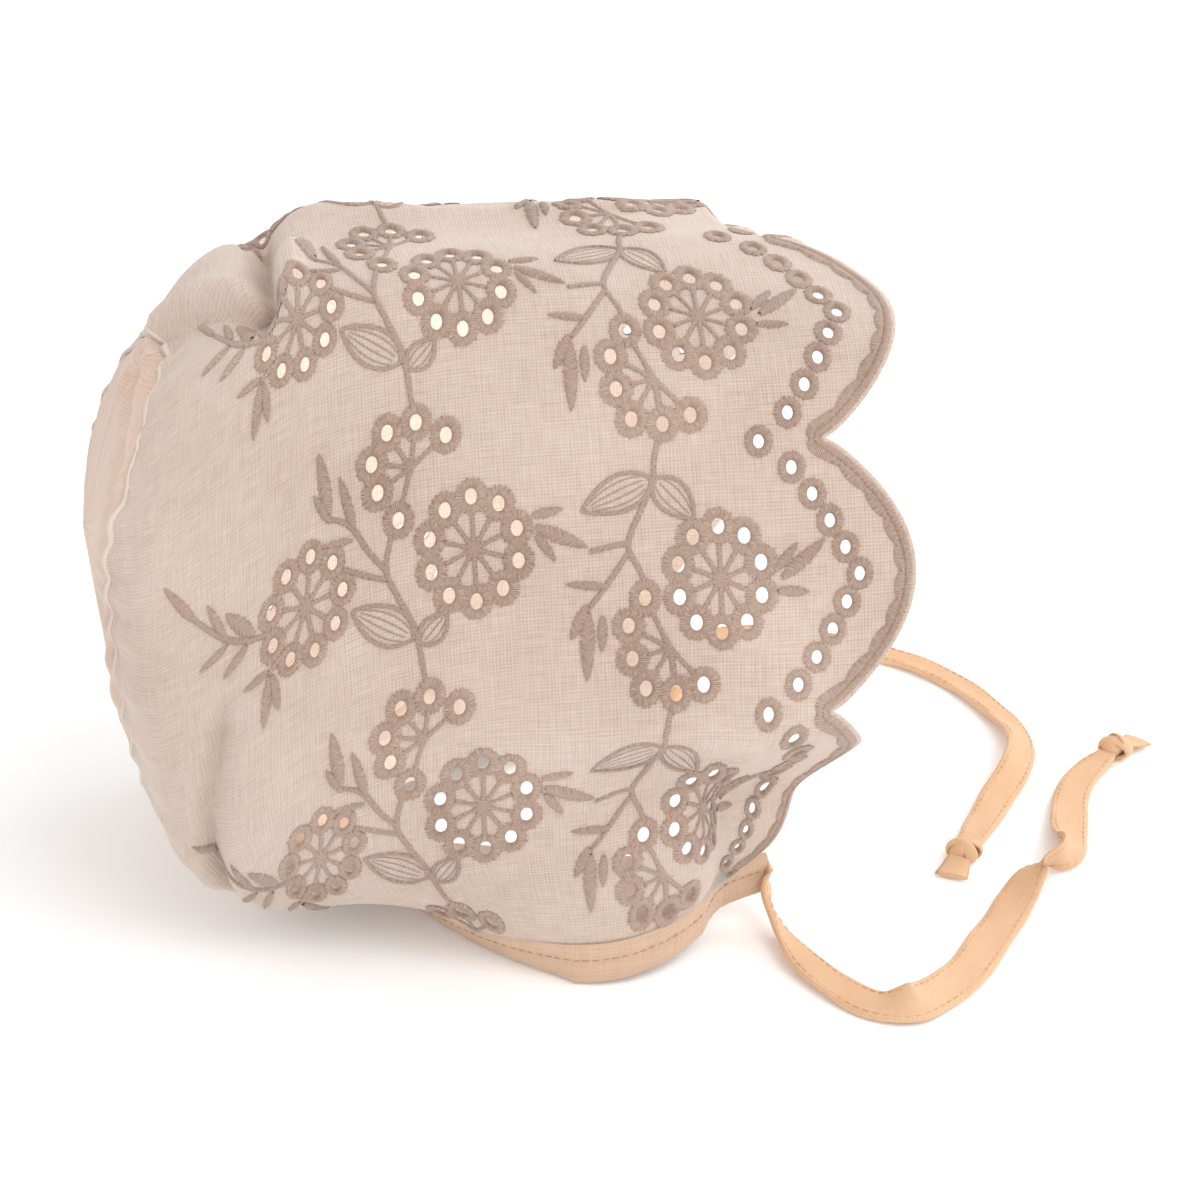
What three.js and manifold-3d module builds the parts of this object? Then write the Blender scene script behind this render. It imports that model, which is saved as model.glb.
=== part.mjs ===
// Baby bonnet: an eyelet cloth wrapped from ear to ear, a plain back, a neck binding and two flat ties.
// Millimetres, +Z up. The face opening looks along +X, and the wearer's right side lies towards -Y.
import * as THREE from 'three';
import { mergeVertices } from 'three/addons/utils/BufferGeometryUtils.js';
import Module from 'manifold-3d';

// Driving sizes of the made-up bonnet
const LENGTH = 167;
const WIDTH = 142;
const HEIGHT = 146;

// The cloth it is cut from
const CLOTH_DEPTH = 138;
const HALF_EDGE = 175;
const SCALLOP_PITCH = 56;
const SCALLOP_RISE = 17.7;
const EDGE_MARGIN = 13.7;
const SCALLOP_SHIFT = 7;
const WALL = 1.2;
const SEAM_GAP = 0.35;
const BACK_END = 1.16;
const SEAM_SWELL = 0.055;

// Eyelets cut right through
const EYELET_WIDE = 2.8;
const EYELET_TALL = 3.7;
const EYELET_SIDES = 6;

// Binding and ties
const BINDING_THICK = 2.4;
const BINDING_WIDTH = 9;
const BINDING_END = 6;
const BINDING_LEAN = 5;
const TIE_REACH = 110;
const TIE_RISE = 4.5;
const TIE_CLEAR = 0.9;
const TIE_WIDTH = 9.5;
const TIE_THICK = 1.6;
const KNOT_LENGTH = 9;
const KNOT_THICK = 5;
const TAIL_LENGTH = 7;
const FIT_GAP = 0.3;

// Colours from the finished piece
const CLOTH_COLOUR = 0xdcc6b6;
const BACK_COLOUR = 0xe6d6ca;
const BINDING_COLOUR = 0xe0b894;
const TIE_COLOUR = 0xf0cda8;

// Sections of the form from the face to the back of the head. at is the share of the cloth's depth
// behind the eyelet row. back places are shares of LENGTH from the rearmost point, out of half the
// WIDTH, and up of the HEIGHT.
const SECTIONS = [
  { at: -0.23, crownX: 1.0, sideX: 0.988, hemX: 0.976, crownUp: 0.97, shoulderOut: 0.25, shoulderUp: 0.96,
    upperOut: 0.65, upperUp: 0.885,
    sideOut: 1.0, sideUp: 0.438, lowOut: 0.90, lowUp: 0.23, hemOut: 0.73, hemUp: 0.1 },
  { at: 0, crownX: 0.808, sideX: 0.802, hemX: 0.802, crownUp: 0.985, shoulderOut: 0.28, shoulderUp: 0.973,
    upperOut: 0.635, upperUp: 0.877,
    sideOut: 0.986, sideUp: 0.438, lowOut: 0.887, lowUp: 0.21, hemOut: 0.76, hemUp: 0.09 },
  { at: 0.217, crownX: 0.623, sideX: 0.623, hemX: 0.629, crownUp: 0.993, shoulderOut: 0.352, shoulderUp: 0.979,
    upperOut: 0.592, upperUp: 0.856,
    sideOut: 0.93, sideUp: 0.445, lowOut: 0.9, lowUp: 0.212, hemOut: 0.925, hemUp: 0.067 },
  { at: 0.435, crownX: 0.449, sideX: 0.443, hemX: 0.497, crownUp: 0.996, shoulderOut: 0.38, shoulderUp: 0.979,
    upperOut: 0.549, upperUp: 0.829,
    sideOut: 0.859, sideUp: 0.459, lowOut: 0.845, lowUp: 0.185, hemOut: 0.8, hemUp: 0.053 },
  { at: 0.652, crownX: 0.281, sideX: 0.269, hemX: 0.395, crownUp: 0.993, shoulderOut: 0.324, shoulderUp: 0.973,
    upperOut: 0.493, upperUp: 0.795,
    sideOut: 0.775, sideUp: 0.479, lowOut: 0.704, lowUp: 0.13, hemOut: 0.52, hemUp: 0.045 },
  { at: 0.833, crownX: 0.162, sideX: 0.132, hemX: 0.335, crownUp: 0.945, shoulderOut: 0.239, shoulderUp: 0.925,
    upperOut: 0.437, upperUp: 0.767,
    sideOut: 0.662, sideUp: 0.521, lowOut: 0.606, lowUp: 0.095, hemOut: 0.211, hemUp: 0.045 },
  { at: 1.0, crownX: 0.096, sideX: 0.042, hemX: 0.299, crownUp: 0.863, shoulderOut: 0.141, shoulderUp: 0.842,
    upperOut: 0.38, upperUp: 0.747,
    sideOut: 0.535, sideUp: 0.562, lowOut: 0.479, lowUp: 0.164, hemOut: 0.065, hemUp: 0.048 },
  { at: 1.1, crownX: 0.048, sideX: 0.015, hemX: 0.204, crownUp: 0.774, shoulderOut: 0.07, shoulderUp: 0.76,
    upperOut: 0.239, upperUp: 0.685,
    sideOut: 0.324, sideUp: 0.575, lowOut: 0.268, lowUp: 0.315, hemOut: 0.03, hemUp: 0.205 },
  { at: 1.174, crownX: 0.003, sideX: 0.003, hemX: 0.004, crownUp: 0.58, shoulderOut: 0.002, shoulderUp: 0.579,
    upperOut: 0.004, upperUp: 0.577,
    sideOut: 0.005, sideUp: 0.575, lowOut: 0.004, lowUp: 0.573, hemOut: 0.002, hemUp: 0.571 },
];

// How far from the side towards the hem the low place of each section stands
const LOW_SHARE = 0.2;

// Folds and dents that stand out of or into the smooth form. Each runs between two places on the cloth:
// at is a share of CLOTH_DEPTH, across a share of HALF_EDGE with the wearer's right positive.
// reach and rise are shares of WIDTH, and a negative rise is a dent.
const FOLDS = [
  { name: 'crown groove', at0: 0.2, across0: -0.15, at1: 0.52, across1: -0.15, reach: 0.045, rise: -0.03 },
  { name: 'crown ridge', at0: 0.12, across0: -0.07, at1: 0.6, across1: -0.1, reach: 0.04, rise: 0.01 },
  { name: 'pinch down', at0: 0.71, across0: -0.1, at1: 0.72, across1: 0.11, reach: 0.035, rise: -0.035 },
  { name: 'pinch back', at0: 0.74, across0: 0.11, at1: 0.98, across1: 0.03, reach: 0.035, rise: -0.03 },
  { name: 'pinch lip', at0: 0.66, across0: 0.03, at1: 0.69, across1: 0.12, reach: 0.03, rise: 0.02 },
  { name: 'chin crease', at0: -0.2, across0: 0.7, at1: 0.3, across1: 0.7, reach: 0.05, rise: 0.018 },
  { name: 'chin crease left', at0: -0.2, across0: -0.7, at1: 0.3, across1: -0.7, reach: 0.05, rise: 0.018 },
  { name: 'chin hollow', at0: -0.1, across0: 0.83, at1: 0.2, across1: 0.8, reach: 0.06, rise: -0.02 },
  { name: 'nape fold', at0: 0.82, across0: 0.56, at1: 0.89, across1: 0.77, reach: 0.035, rise: -0.025 },
  { name: 'nape fold left', at0: 0.8, across0: -0.5, at1: 0.88, across1: -0.75, reach: 0.035, rise: -0.025 },
];

// Front corners tucked in towards the chin, as shares of HALF_EDGE and of CLOTH_DEPTH
const TUCK = {
  start: 0.64, full: 0.86, hemStart: 0.86, axis: 0.174, run: 0.217,
  turn: 50, hemTurn: 45, inward: 0.3,
};
// The first scallop of the wearer's left side droops over the face opening
const DROOP = { start: 0.046, full: -0.08, lastFull: -0.194, end: -0.32, axis: -0.0145, turn: 52 };

// Rings of eyelets in the embroidery, one of each for every scallop, as shares of SCALLOP_PITCH
const EYELET_RINGS = [
  { name: 'front', at: 0.163, across: 0.5, wide: 0.154, tall: 0.196, count: 8 },
  { name: 'middle', at: 1.023, across: 0.32, wide: 0.166, tall: 0.193, count: 8 },
];

// Ties laid on the table. forward and left are shares of TIE_REACH from where the tie leaves the
// binding, and up is the share of its height there.
const TIE_RIGHT_ROUTE = [
  { forward: 0.029, left: -0.085, up: 0.3 },
  { forward: 0.058, left: -0.186, up: 0 },
  { forward: 0.104, left: -0.282, up: 0 },
  { forward: 0.158, left: -0.35, up: 0 },
  { forward: 0.222, left: -0.368, up: 0 },
  { forward: 0.304, left: -0.309, up: 0 },
  { forward: 0.425, left: -0.15, up: 0 },
  { forward: 0.522, left: -0.014, up: 0 },
  { forward: 0.595, left: 0.077, up: 0 },
  { forward: 0.658, left: 0.141, up: 0 },
  { forward: 0.713, left: 0.273, up: 0 },
  { forward: 0.776, left: 0.414, up: 0 },
  { forward: 0.858, left: 0.51, up: 0 },
];
const TIE_LEFT_ROUTE = [
  { forward: 0.01, left: 0.09, up: 0.3 },
  { forward: 0.031, left: 0.177, up: 0 },
  { forward: 0.085, left: 0.305, up: 0 },
  { forward: 0.176, left: 0.377, up: 0 },
  { forward: 0.285, left: 0.373, up: 0 },
  { forward: 0.367, left: 0.341, up: 0 },
  { forward: 0.458, left: 0.286, up: 0 },
  { forward: 0.535, left: 0.227, up: 0 },
  { forward: 0.649, left: 0.095, up: 0 },
  { forward: 0.711, left: -0.123, up: 0 },
  { forward: 0.673, left: -0.332, up: 0 },
  { forward: 0.595, left: -0.45, up: 0 },
  { forward: 0.54, left: -0.545, up: 0 },
  { forward: 0.476, left: -0.646, up: 0 },
];

// Number of faces along and across each piece
const PANEL_ALONG = 16;
const PANEL_ACROSS = 50;
const BACK_RINGS = 6;
const BACK_AROUND = 36;
const BINDING_STEPS = 40;
const TIE_STEPS = 26;

const wasm = await Module();
wasm.setup();

const clamp01 = (x) => Math.min(1, Math.max(0, x));
const smooth = (from, to, x) => {
  const t = clamp01((x - from) / (to - from));
  return t * t * (3 - 2 * t);
};

// Smooth value of every column at a place between the section rows
function rowAt(place) {
  const rows = SECTIONS;
  let i = 0;
  while (i < rows.length - 2 && place >= rows[i + 1].at) i += 1;
  const slope = (a, b, key) => (rows[b][key] - rows[a][key]) / (rows[b].at - rows[a].at);
  const tangent = (k, key) => {
    if (k === 0) return slope(0, 1, key);
    if (k === rows.length - 1) return slope(k - 1, k, key);
    const before = rows[k].at - rows[k - 1].at;
    const after = rows[k + 1].at - rows[k].at;
    return (slope(k - 1, k, key) * after + slope(k, k + 1, key) * before) / (before + after);
  };
  const h = rows[i + 1].at - rows[i].at;
  const t = (place - rows[i].at) / h;
  const result = {};
  for (const key of Object.keys(rows[0])) {
    const a = rows[i][key];
    const b = rows[i + 1][key];
    result[key] = (2 * t ** 3 - 3 * t ** 2 + 1) * a + (t ** 3 - 2 * t ** 2 + t) * tangent(i, key) * h
      + (3 * t ** 2 - 2 * t ** 3) * b + (t ** 3 - t ** 2) * tangent(i + 1, key) * h;
  }
  return result;
}

const sectionCurves = new Map();

// Curve of one section from the hem on the wearer's left, over the crown, to the hem on the right
function sectionCurve(place) {
  const key = place.toFixed(5);
  if (!sectionCurves.has(key)) {
    const r = rowAt(place);
    const spot = (x, out, up) => [LENGTH * (x - 0.5), out * WIDTH / 2, up * HEIGHT];
    const half = [
      spot(r.crownX, 0, r.crownUp),
      spot(r.crownX, r.shoulderOut, r.shoulderUp),
      spot((r.crownX + r.sideX) / 2, r.upperOut, r.upperUp),
      spot(r.sideX, r.sideOut, r.sideUp),
      spot(r.sideX + LOW_SHARE * (r.hemX - r.sideX), r.lowOut, r.lowUp),
      spot(r.hemX, r.hemOut, r.hemUp),
    ];
    const left = half.slice(1).reverse().map(([x, y, z]) => new THREE.Vector3(x, y, z));
    const right = half.map(([x, y, z]) => new THREE.Vector3(x, -y, z));
    const curve = new THREE.CatmullRomCurve3([...left, ...right], false, 'centripetal');
    curve.arcLengthDivisions = 300;
    sectionCurves.set(key, curve);
  }
  return sectionCurves.get(key);
}

const onSection = (along, across) =>
  sectionCurve(along / CLOTH_DEPTH).getPointAt(clamp01((across / HALF_EDGE + 1) / 2));

const radians = THREE.MathUtils.degToRad;

// Place on the cloth before folds: along is the distance behind the eyelet row, across from the crown
function formPoint(along, across) {
  const point = onSection(along, across);
  const side = Math.abs(across) / HALF_EDGE;
  const axis = TUCK.axis * CLOTH_DEPTH;
  const opened = radians(TUCK.turn - TUCK.hemTurn) * smooth(TUCK.hemStart, 1, side);
  const turn = (radians(TUCK.turn) * smooth(TUCK.start, TUCK.full, side) - opened)
    * smooth(axis, axis - TUCK.run * CLOTH_DEPTH, along);
  if (turn > 0) {
    const forward = point.x - onSection(axis, across).x;
    point.x -= forward * (1 - Math.cos(turn));
    point.y += Math.sign(across) * forward * Math.sin(turn) * TUCK.inward;
  }
  const place = across / HALF_EDGE;
  const droop = radians(DROOP.turn) * smooth(DROOP.start, DROOP.full, place)
    * (1 - smooth(DROOP.lastFull, DROOP.end, place));
  const beyond = DROOP.axis * CLOTH_DEPTH - along;
  if (droop > 0 && beyond > 0) {
    point.x -= beyond * (1 - Math.cos(droop));
    point.z -= beyond * Math.sin(droop);
  }
  return point;
}

// Height of the folds at a place on the cloth
function foldRise(along, across) {
  let rise = 0;
  for (const fold of FOLDS) {
    const start = new THREE.Vector2(fold.at0 * CLOTH_DEPTH, fold.across0 * HALF_EDGE);
    const run = new THREE.Vector2(fold.at1 * CLOTH_DEPTH, fold.across1 * HALF_EDGE).sub(start);
    const offset = new THREE.Vector2(along, across).sub(start);
    const t = clamp01(offset.dot(run) / run.lengthSq());
    const distance = offset.addScaledVector(run, -t).length();
    rise += fold.rise * WIDTH * Math.exp(-((distance / (fold.reach * WIDTH)) ** 2));
  }
  return rise;
}

const NORMAL_STEP = 0.5;

// Outward direction of the smooth form
function outward(along, across) {
  const edge = HALF_EDGE - NORMAL_STEP;
  const near = Math.max(-edge, Math.min(edge, across));
  const alongRun = formPoint(along + NORMAL_STEP, near).sub(formPoint(along - NORMAL_STEP, near));
  const acrossRun = formPoint(along, near + NORMAL_STEP).sub(formPoint(along, near - NORMAL_STEP));
  return alongRun.cross(acrossRun).normalize();
}

// Place on the cloth with its folds, lifted from the middle of the wall
function clothPoint(along, across, lift) {
  const normal = outward(along, across);
  return formPoint(along, across).addScaledVector(normal, foldRise(along, across) + lift);
}

// Front edge of the cloth: a row of scallops in front of the eyelet row
function edgeAlong(across) {
  const t = (((across - SCALLOP_SHIFT) % SCALLOP_PITCH) + SCALLOP_PITCH) % SCALLOP_PITCH / SCALLOP_PITCH;
  return -EDGE_MARGIN - SCALLOP_RISE * Math.sin(Math.PI * t) ** 0.8;
}

// Back seam of the cloth, set further back at the ears than at the crown and the nape
function seamAlong(across) {
  const side = Math.abs(across) / HALF_EDGE;
  return CLOTH_DEPTH * (1 + SEAM_SWELL * smooth(0.1, 0.3, side) * (1 - smooth(0.6, 0.9, side)));
}

// Closed mesh from a grid of wall points: outer and inner sheet, joined round their edges
function wallGeometry(outer, inner, wrap) {
  const rows = outer.length;
  const columns = outer[0].length;
  const positions = [...outer.flat(), ...inner.flat()].flatMap((p) => [p.x, p.y, p.z]);
  const index = [];
  const out = (i, j) => i * columns + (j % columns);
  const inn = (i, j) => rows * columns + out(i, j);
  const quad = (a, b, c, d) => index.push(a, c, b, a, d, c);
  const across = wrap ? columns : columns - 1;
  for (let i = 0; i < rows - 1; i += 1) {
    for (let j = 0; j < across; j += 1) {
      quad(out(i, j), out(i, j + 1), out(i + 1, j + 1), out(i + 1, j));
      quad(inn(i, j), inn(i + 1, j), inn(i + 1, j + 1), inn(i, j + 1));
    }
  }
  for (let j = 0; j < across; j += 1) {
    quad(out(0, j), inn(0, j), inn(0, j + 1), out(0, j + 1));
    quad(out(rows - 1, j), out(rows - 1, j + 1), inn(rows - 1, j + 1), inn(rows - 1, j));
  }
  if (!wrap) {
    for (let i = 0; i < rows - 1; i += 1) {
      quad(out(i, 0), out(i + 1, 0), inn(i + 1, 0), inn(i, 0));
      quad(out(i, columns - 1), inn(i, columns - 1), inn(i + 1, columns - 1), out(i + 1, columns - 1));
    }
  }
  const geometry = new THREE.BufferGeometry();
  geometry.setAttribute('position', new THREE.Float32BufferAttribute(positions, 3));
  geometry.setIndex(index);
  return geometry;
}

function toSolid(geometry) {
  const bare = geometry.clone();
  bare.deleteAttribute('normal');
  bare.deleteAttribute('uv');
  const merged = mergeVertices(bare, 1e-4);
  return new wasm.Manifold(new wasm.Mesh({
    numProp: 3,
    vertProperties: new Float32Array(merged.attributes.position.array),
    triVerts: new Uint32Array(merged.index.array),
  }));
}

function toGeometry(solid) {
  const mesh = solid.getMesh();
  const geometry = new THREE.BufferGeometry();
  geometry.setAttribute('position', new THREE.Float32BufferAttribute(mesh.vertProperties, 3));
  geometry.setIndex(new THREE.Uint32BufferAttribute(mesh.triVerts, 1));
  return geometry;
}

// Eyelet cutter: a short oval prism standing through the wall
function eyeletCutter(along, across) {
  const cutter = new THREE.CylinderGeometry(0.5, 0.5, 4 * WALL, EYELET_SIDES);
  const normal = outward(along, across);
  const acrossRun = clothPoint(along, across + NORMAL_STEP, 0).sub(clothPoint(along, across, 0)).normalize();
  const alongRun = new THREE.Vector3().crossVectors(normal, acrossRun);
  const frame = new THREE.Matrix4().makeBasis(
    alongRun.multiplyScalar(EYELET_WIDE),
    normal,
    acrossRun.multiplyScalar(EYELET_TALL),
  );
  cutter.applyMatrix4(frame.setPosition(clothPoint(along, across, 0)));
  return toSolid(cutter);
}

function eyeletPlaces() {
  const places = [];
  const scallops = Math.ceil(HALF_EDGE / SCALLOP_PITCH) + 1;
  for (let k = -scallops; k <= scallops; k += 1) {
    for (const ring of EYELET_RINGS) {
      const middle = SCALLOP_SHIFT + (k + ring.across) * SCALLOP_PITCH;
      const clear = HALF_EDGE - (ring.tall + 0.06) * SCALLOP_PITCH;
      if (Math.abs(middle) > clear) continue;
      for (let n = 0; n < ring.count; n += 1) {
        const turn = 2 * Math.PI * (n + 0.5) / ring.count;
        places.push({
          along: (ring.at + ring.wide * Math.cos(turn)) * SCALLOP_PITCH,
          across: middle + ring.tall * SCALLOP_PITCH * Math.sin(turn),
        });
      }
    }
  }
  return places;
}

function embroideredPanel() {
  const grid = (lift) => Array.from({ length: PANEL_ALONG + 1 }, (_, i) =>
    Array.from({ length: PANEL_ACROSS + 1 }, (__, j) => {
      const across = HALF_EDGE * (2 * j / PANEL_ACROSS - 1);
      const front = edgeAlong(across);
      const along = front + (seamAlong(across) - SEAM_GAP / 2 - front) * i / PANEL_ALONG;
      return clothPoint(along, across, lift);
    }));
  const wall = toSolid(wallGeometry(grid(WALL / 2), grid(-WALL / 2), false));
  const cutters = eyeletPlaces().map(({ along, across }) => eyeletCutter(along, across));
  return toGeometry(wall.subtract(wasm.Manifold.union(cutters)));
}

// The back is a round of plain cloth: its rings follow the sections and close across the nape
function backPanel() {
  const lastAlong = BACK_END * CLOTH_DEPTH;
  const ring = (i, lift) => Array.from({ length: BACK_AROUND }, (_, j) => {
    const across = HALF_EDGE * (2 * j / (BACK_AROUND - 1) - 1);
    const firstAlong = seamAlong(across) + SEAM_GAP / 2;
    const along = firstAlong + (lastAlong - firstAlong) * (i / BACK_RINGS);
    return clothPoint(along, across, lift);
  });
  const rings = (lift) => Array.from({ length: BACK_RINGS + 1 }, (_, i) => ring(i, lift));
  const outer = rings(WALL / 2);
  const inner = rings(-WALL / 2);
  return cupGeometry(outer, inner);
}

// Closed wall from rings that shrink to a middle, the last ring being filled
function cupGeometry(outer, inner) {
  const middle = (ring) => ring.reduce((sum, p) => sum.add(p), new THREE.Vector3()).divideScalar(ring.length);
  const rows = outer.length;
  const columns = outer[0].length;
  const outerTop = middle(outer[rows - 1]);
  const innerTop = middle(inner[rows - 1]);
  const positions = [...outer.flat(), ...inner.flat(), outerTop, innerTop].flatMap((p) => [p.x, p.y, p.z]);
  const index = [];
  const out = (i, j) => i * columns + (j % columns);
  const inn = (i, j) => rows * columns + out(i, j);
  const outTop = 2 * rows * columns;
  const innTop = outTop + 1;
  for (let j = 0; j < columns; j += 1) {
    for (let i = 0; i < rows - 1; i += 1) {
      index.push(out(i, j), out(i + 1, j + 1), out(i, j + 1), out(i, j), out(i + 1, j), out(i + 1, j + 1));
      index.push(inn(i, j), inn(i, j + 1), inn(i + 1, j + 1), inn(i, j), inn(i + 1, j + 1), inn(i + 1, j));
    }
    index.push(out(0, j), inn(0, j + 1), inn(0, j), out(0, j), out(0, j + 1), inn(0, j + 1));
    index.push(out(rows - 1, j), outTop, out(rows - 1, j + 1));
    index.push(inn(rows - 1, j + 1), innTop, inn(rows - 1, j));
  }
  const geometry = new THREE.BufferGeometry();
  geometry.setAttribute('position', new THREE.Float32BufferAttribute(positions, 3));
  geometry.setIndex(index);
  return geometry;
}

// Stations of the neck from the right front corner round the back to the left front corner
function neckStations() {
  const halfSteps = BINDING_STEPS / 2;
  const back = CLOTH_DEPTH - SEAM_GAP;
  const side = (across) => Array.from({ length: halfSteps }, (_, i) => {
    const along = -EDGE_MARGIN + (back + EDGE_MARGIN) * i / (halfSteps - 1);
    return clothPoint(along, across, 0);
  });
  const hem = [...side(HALF_EDGE), ...side(-HALF_EDGE).reverse()];
  const beyond = (from, next) => from.clone().add(from.clone().sub(next).setLength(BINDING_END));
  return [beyond(hem[0], hem[1]), ...hem, beyond(hem.at(-1), hem.at(-2))];
}

// Height and lean of the binding under one station. It hangs at its own width where the hem is
// high, and folds inward to rest on its foot where the hem is lower than that.
function bindingFall(hem) {
  const top = hem.z - FIT_GAP - WALL;
  const fall = Math.min(top, BINDING_WIDTH * Math.cos(radians(BINDING_LEAN)));
  return { top, fall, inward: Math.sqrt(BINDING_WIDTH ** 2 - fall ** 2) };
}

// Level direction away from the neck, square to a run of the hem
function awayFromNeck(from, to) {
  const out = new THREE.Vector3(to.y - from.y, from.x - to.x, 0).normalize();
  return out.dot(from) < 0 ? out.negate() : out;
}

// Strip sewn under the hem
function neckBinding() {
  const stations = neckStations();
  const count = stations.length;
  const outer = [];
  const inner = [];
  stations.forEach((hem, i) => {
    const out = awayFromNeck(stations[Math.max(i - 1, 0)], stations[Math.min(i + 1, count - 1)]);
    const { top, fall, inward } = bindingFall(hem);
    const ring = (lift) => [
      hem.clone().setZ(top).addScaledVector(out, lift),
      hem.clone().setZ(top - fall).addScaledVector(out, lift - inward),
    ];
    outer.push(ring(BINDING_THICK / 2));
    inner.push(ring(-BINDING_THICK / 2));
  });
  return toGeometry(toSolid(wallGeometry(outer, inner, false)));
}

// Flat tie that leaves the outside of the binding near its end and lies down on the table
function tieRoute(end, next, route) {
  const out = awayFromNeck(next, end);
  const { top, fall, inward } = bindingFall(end);
  const lean = inward * (top - TIE_RISE) / fall;
  const start = end.clone().add(next).multiplyScalar(0.5)
    .addScaledVector(out, BINDING_THICK / 2 - lean + TIE_CLEAR).setZ(TIE_RISE);
  const laid = route.map(({ forward, left, up }) => new THREE.Vector3(
    start.x + forward * TIE_REACH,
    start.y + left * TIE_REACH,
    TIE_THICK / 2 + FIT_GAP + up * (TIE_RISE - TIE_THICK / 2),
  ));
  const points = [start, start.clone().addScaledVector(out, TIE_WIDTH / 3), ...laid];
  return new THREE.CatmullRomCurve3(points, false, 'centripetal');
}

function tieSolid(curve) {
  const rim = TIE_WIDTH / 2 - TIE_THICK / 2;
  const section = new THREE.Shape();
  section.moveTo(TIE_THICK / 2, -rim);
  section.lineTo(TIE_THICK / 2, rim);
  section.lineTo(TIE_THICK / 4, TIE_WIDTH / 2);
  section.lineTo(-TIE_THICK / 4, TIE_WIDTH / 2);
  section.lineTo(-TIE_THICK / 2, rim);
  section.lineTo(-TIE_THICK / 2, -rim);
  section.lineTo(-TIE_THICK / 4, -TIE_WIDTH / 2);
  section.lineTo(TIE_THICK / 4, -TIE_WIDTH / 2);
  return new THREE.ExtrudeGeometry(section, { steps: TIE_STEPS, extrudePath: curve, curveSegments: 1 });
}

// Knot pressed flat on the table, with a short flared tail
function knotSolid(curve) {
  const end = curve.getPoint(1);
  const run = curve.getTangent(1);
  const lump = new THREE.SphereGeometry(0.5, 14, 8);
  lump.scale(KNOT_LENGTH, TIE_WIDTH * 1.1, KNOT_THICK);
  lump.translate(KNOT_LENGTH / 2, 0, KNOT_THICK / 2);
  const tail = new THREE.BoxGeometry(TAIL_LENGTH + KNOT_LENGTH / 2, TIE_WIDTH * 0.9, TIE_THICK, 3, 1, 1);
  tail.translate(KNOT_LENGTH + TAIL_LENGTH / 2 - KNOT_LENGTH / 4, 0, KNOT_THICK / 2);
  const knot = toGeometry(toSolid(lump).add(toSolid(tail)));
  knot.rotateZ(Math.atan2(run.y, run.x));
  knot.translate(end.x + run.x * FIT_GAP, end.y + run.y * FIT_GAP, 0);
  return knot;
}

const group = new THREE.Group();

function addPiece(name, geometry, colour, roughness) {
  const material = new THREE.MeshStandardMaterial({ color: colour, roughness, metalness: 0 });
  const mesh = new THREE.Mesh(geometry, material);
  mesh.name = name;
  group.add(mesh);
  return mesh;
}

const neck = neckStations();
const rightTie = tieRoute(neck[0], neck[1], TIE_RIGHT_ROUTE);
const leftTie = tieRoute(neck.at(-1), neck.at(-2), TIE_LEFT_ROUTE);

const body = [
  addPiece('embroidered_panel', embroideredPanel(), CLOTH_COLOUR, 0.9),
  addPiece('back_panel', backPanel(), BACK_COLOUR, 0.9),
  addPiece('neck_binding', neckBinding(), BINDING_COLOUR, 0.8),
];
addPiece('tie_right', tieSolid(rightTie), TIE_COLOUR, 0.75);
addPiece('tie_left', tieSolid(leftTie), TIE_COLOUR, 0.75);
addPiece('tie_right_end', knotSolid(rightTie), TIE_COLOUR, 0.75);
addPiece('tie_left_end', knotSolid(leftTie), TIE_COLOUR, 0.75);

// The origin is under the middle of the bonnet, its ties left out
const bounds = new THREE.Box3();
for (const piece of body) bounds.expandByObject(piece);
const middle = bounds.getCenter(new THREE.Vector3());
for (const piece of group.children) piece.geometry.translate(-middle.x, -middle.y, -bounds.min.z);

export default group;
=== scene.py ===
import math

import bpy
import numpy as np
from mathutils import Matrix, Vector
from mathutils.geometry import delaunay_2d_cdt


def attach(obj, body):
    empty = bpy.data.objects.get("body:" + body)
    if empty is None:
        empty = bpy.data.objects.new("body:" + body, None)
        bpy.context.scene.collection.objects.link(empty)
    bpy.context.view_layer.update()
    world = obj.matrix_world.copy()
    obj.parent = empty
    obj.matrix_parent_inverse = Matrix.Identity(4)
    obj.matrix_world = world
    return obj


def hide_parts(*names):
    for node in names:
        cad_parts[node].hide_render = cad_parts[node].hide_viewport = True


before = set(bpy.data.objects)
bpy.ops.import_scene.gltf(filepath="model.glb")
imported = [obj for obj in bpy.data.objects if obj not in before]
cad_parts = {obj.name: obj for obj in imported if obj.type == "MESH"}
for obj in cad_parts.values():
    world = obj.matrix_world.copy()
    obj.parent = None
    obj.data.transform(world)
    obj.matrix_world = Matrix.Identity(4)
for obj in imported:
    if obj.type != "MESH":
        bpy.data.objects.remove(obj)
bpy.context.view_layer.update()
bpy.ops.object.select_all(action="DESELECT")

# Millimetres for the cloth and its pattern, turned into metres when a mesh is made
MM = 0.001

# Sizes of the made-up bonnet
LENGTH = 167
WIDTH = 142
HEIGHT = 146

# The cloth it is cut from
CLOTH_DEPTH = 138
HALF_EDGE = 175
SCALLOP_PITCH = 56
SCALLOP_RISE = 17.7
EDGE_MARGIN = 13.7
SCALLOP_SHIFT = 7
SEAM_SWELL = 0.055
LOW_SHARE = 0.2
FRAME_FORWARD = 0.3
CLOTH_THICK = 0.6

# Eyelets and thread
EYELET_WIDE = 2.8
EYELET_TALL = 3.7
RING_WIDE = 6.6
RING_TALL = 7.6
STEM_WIDE = 1.15
EDGE_BUMP = 5.6
THREAD_RISE = 0.45

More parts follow.
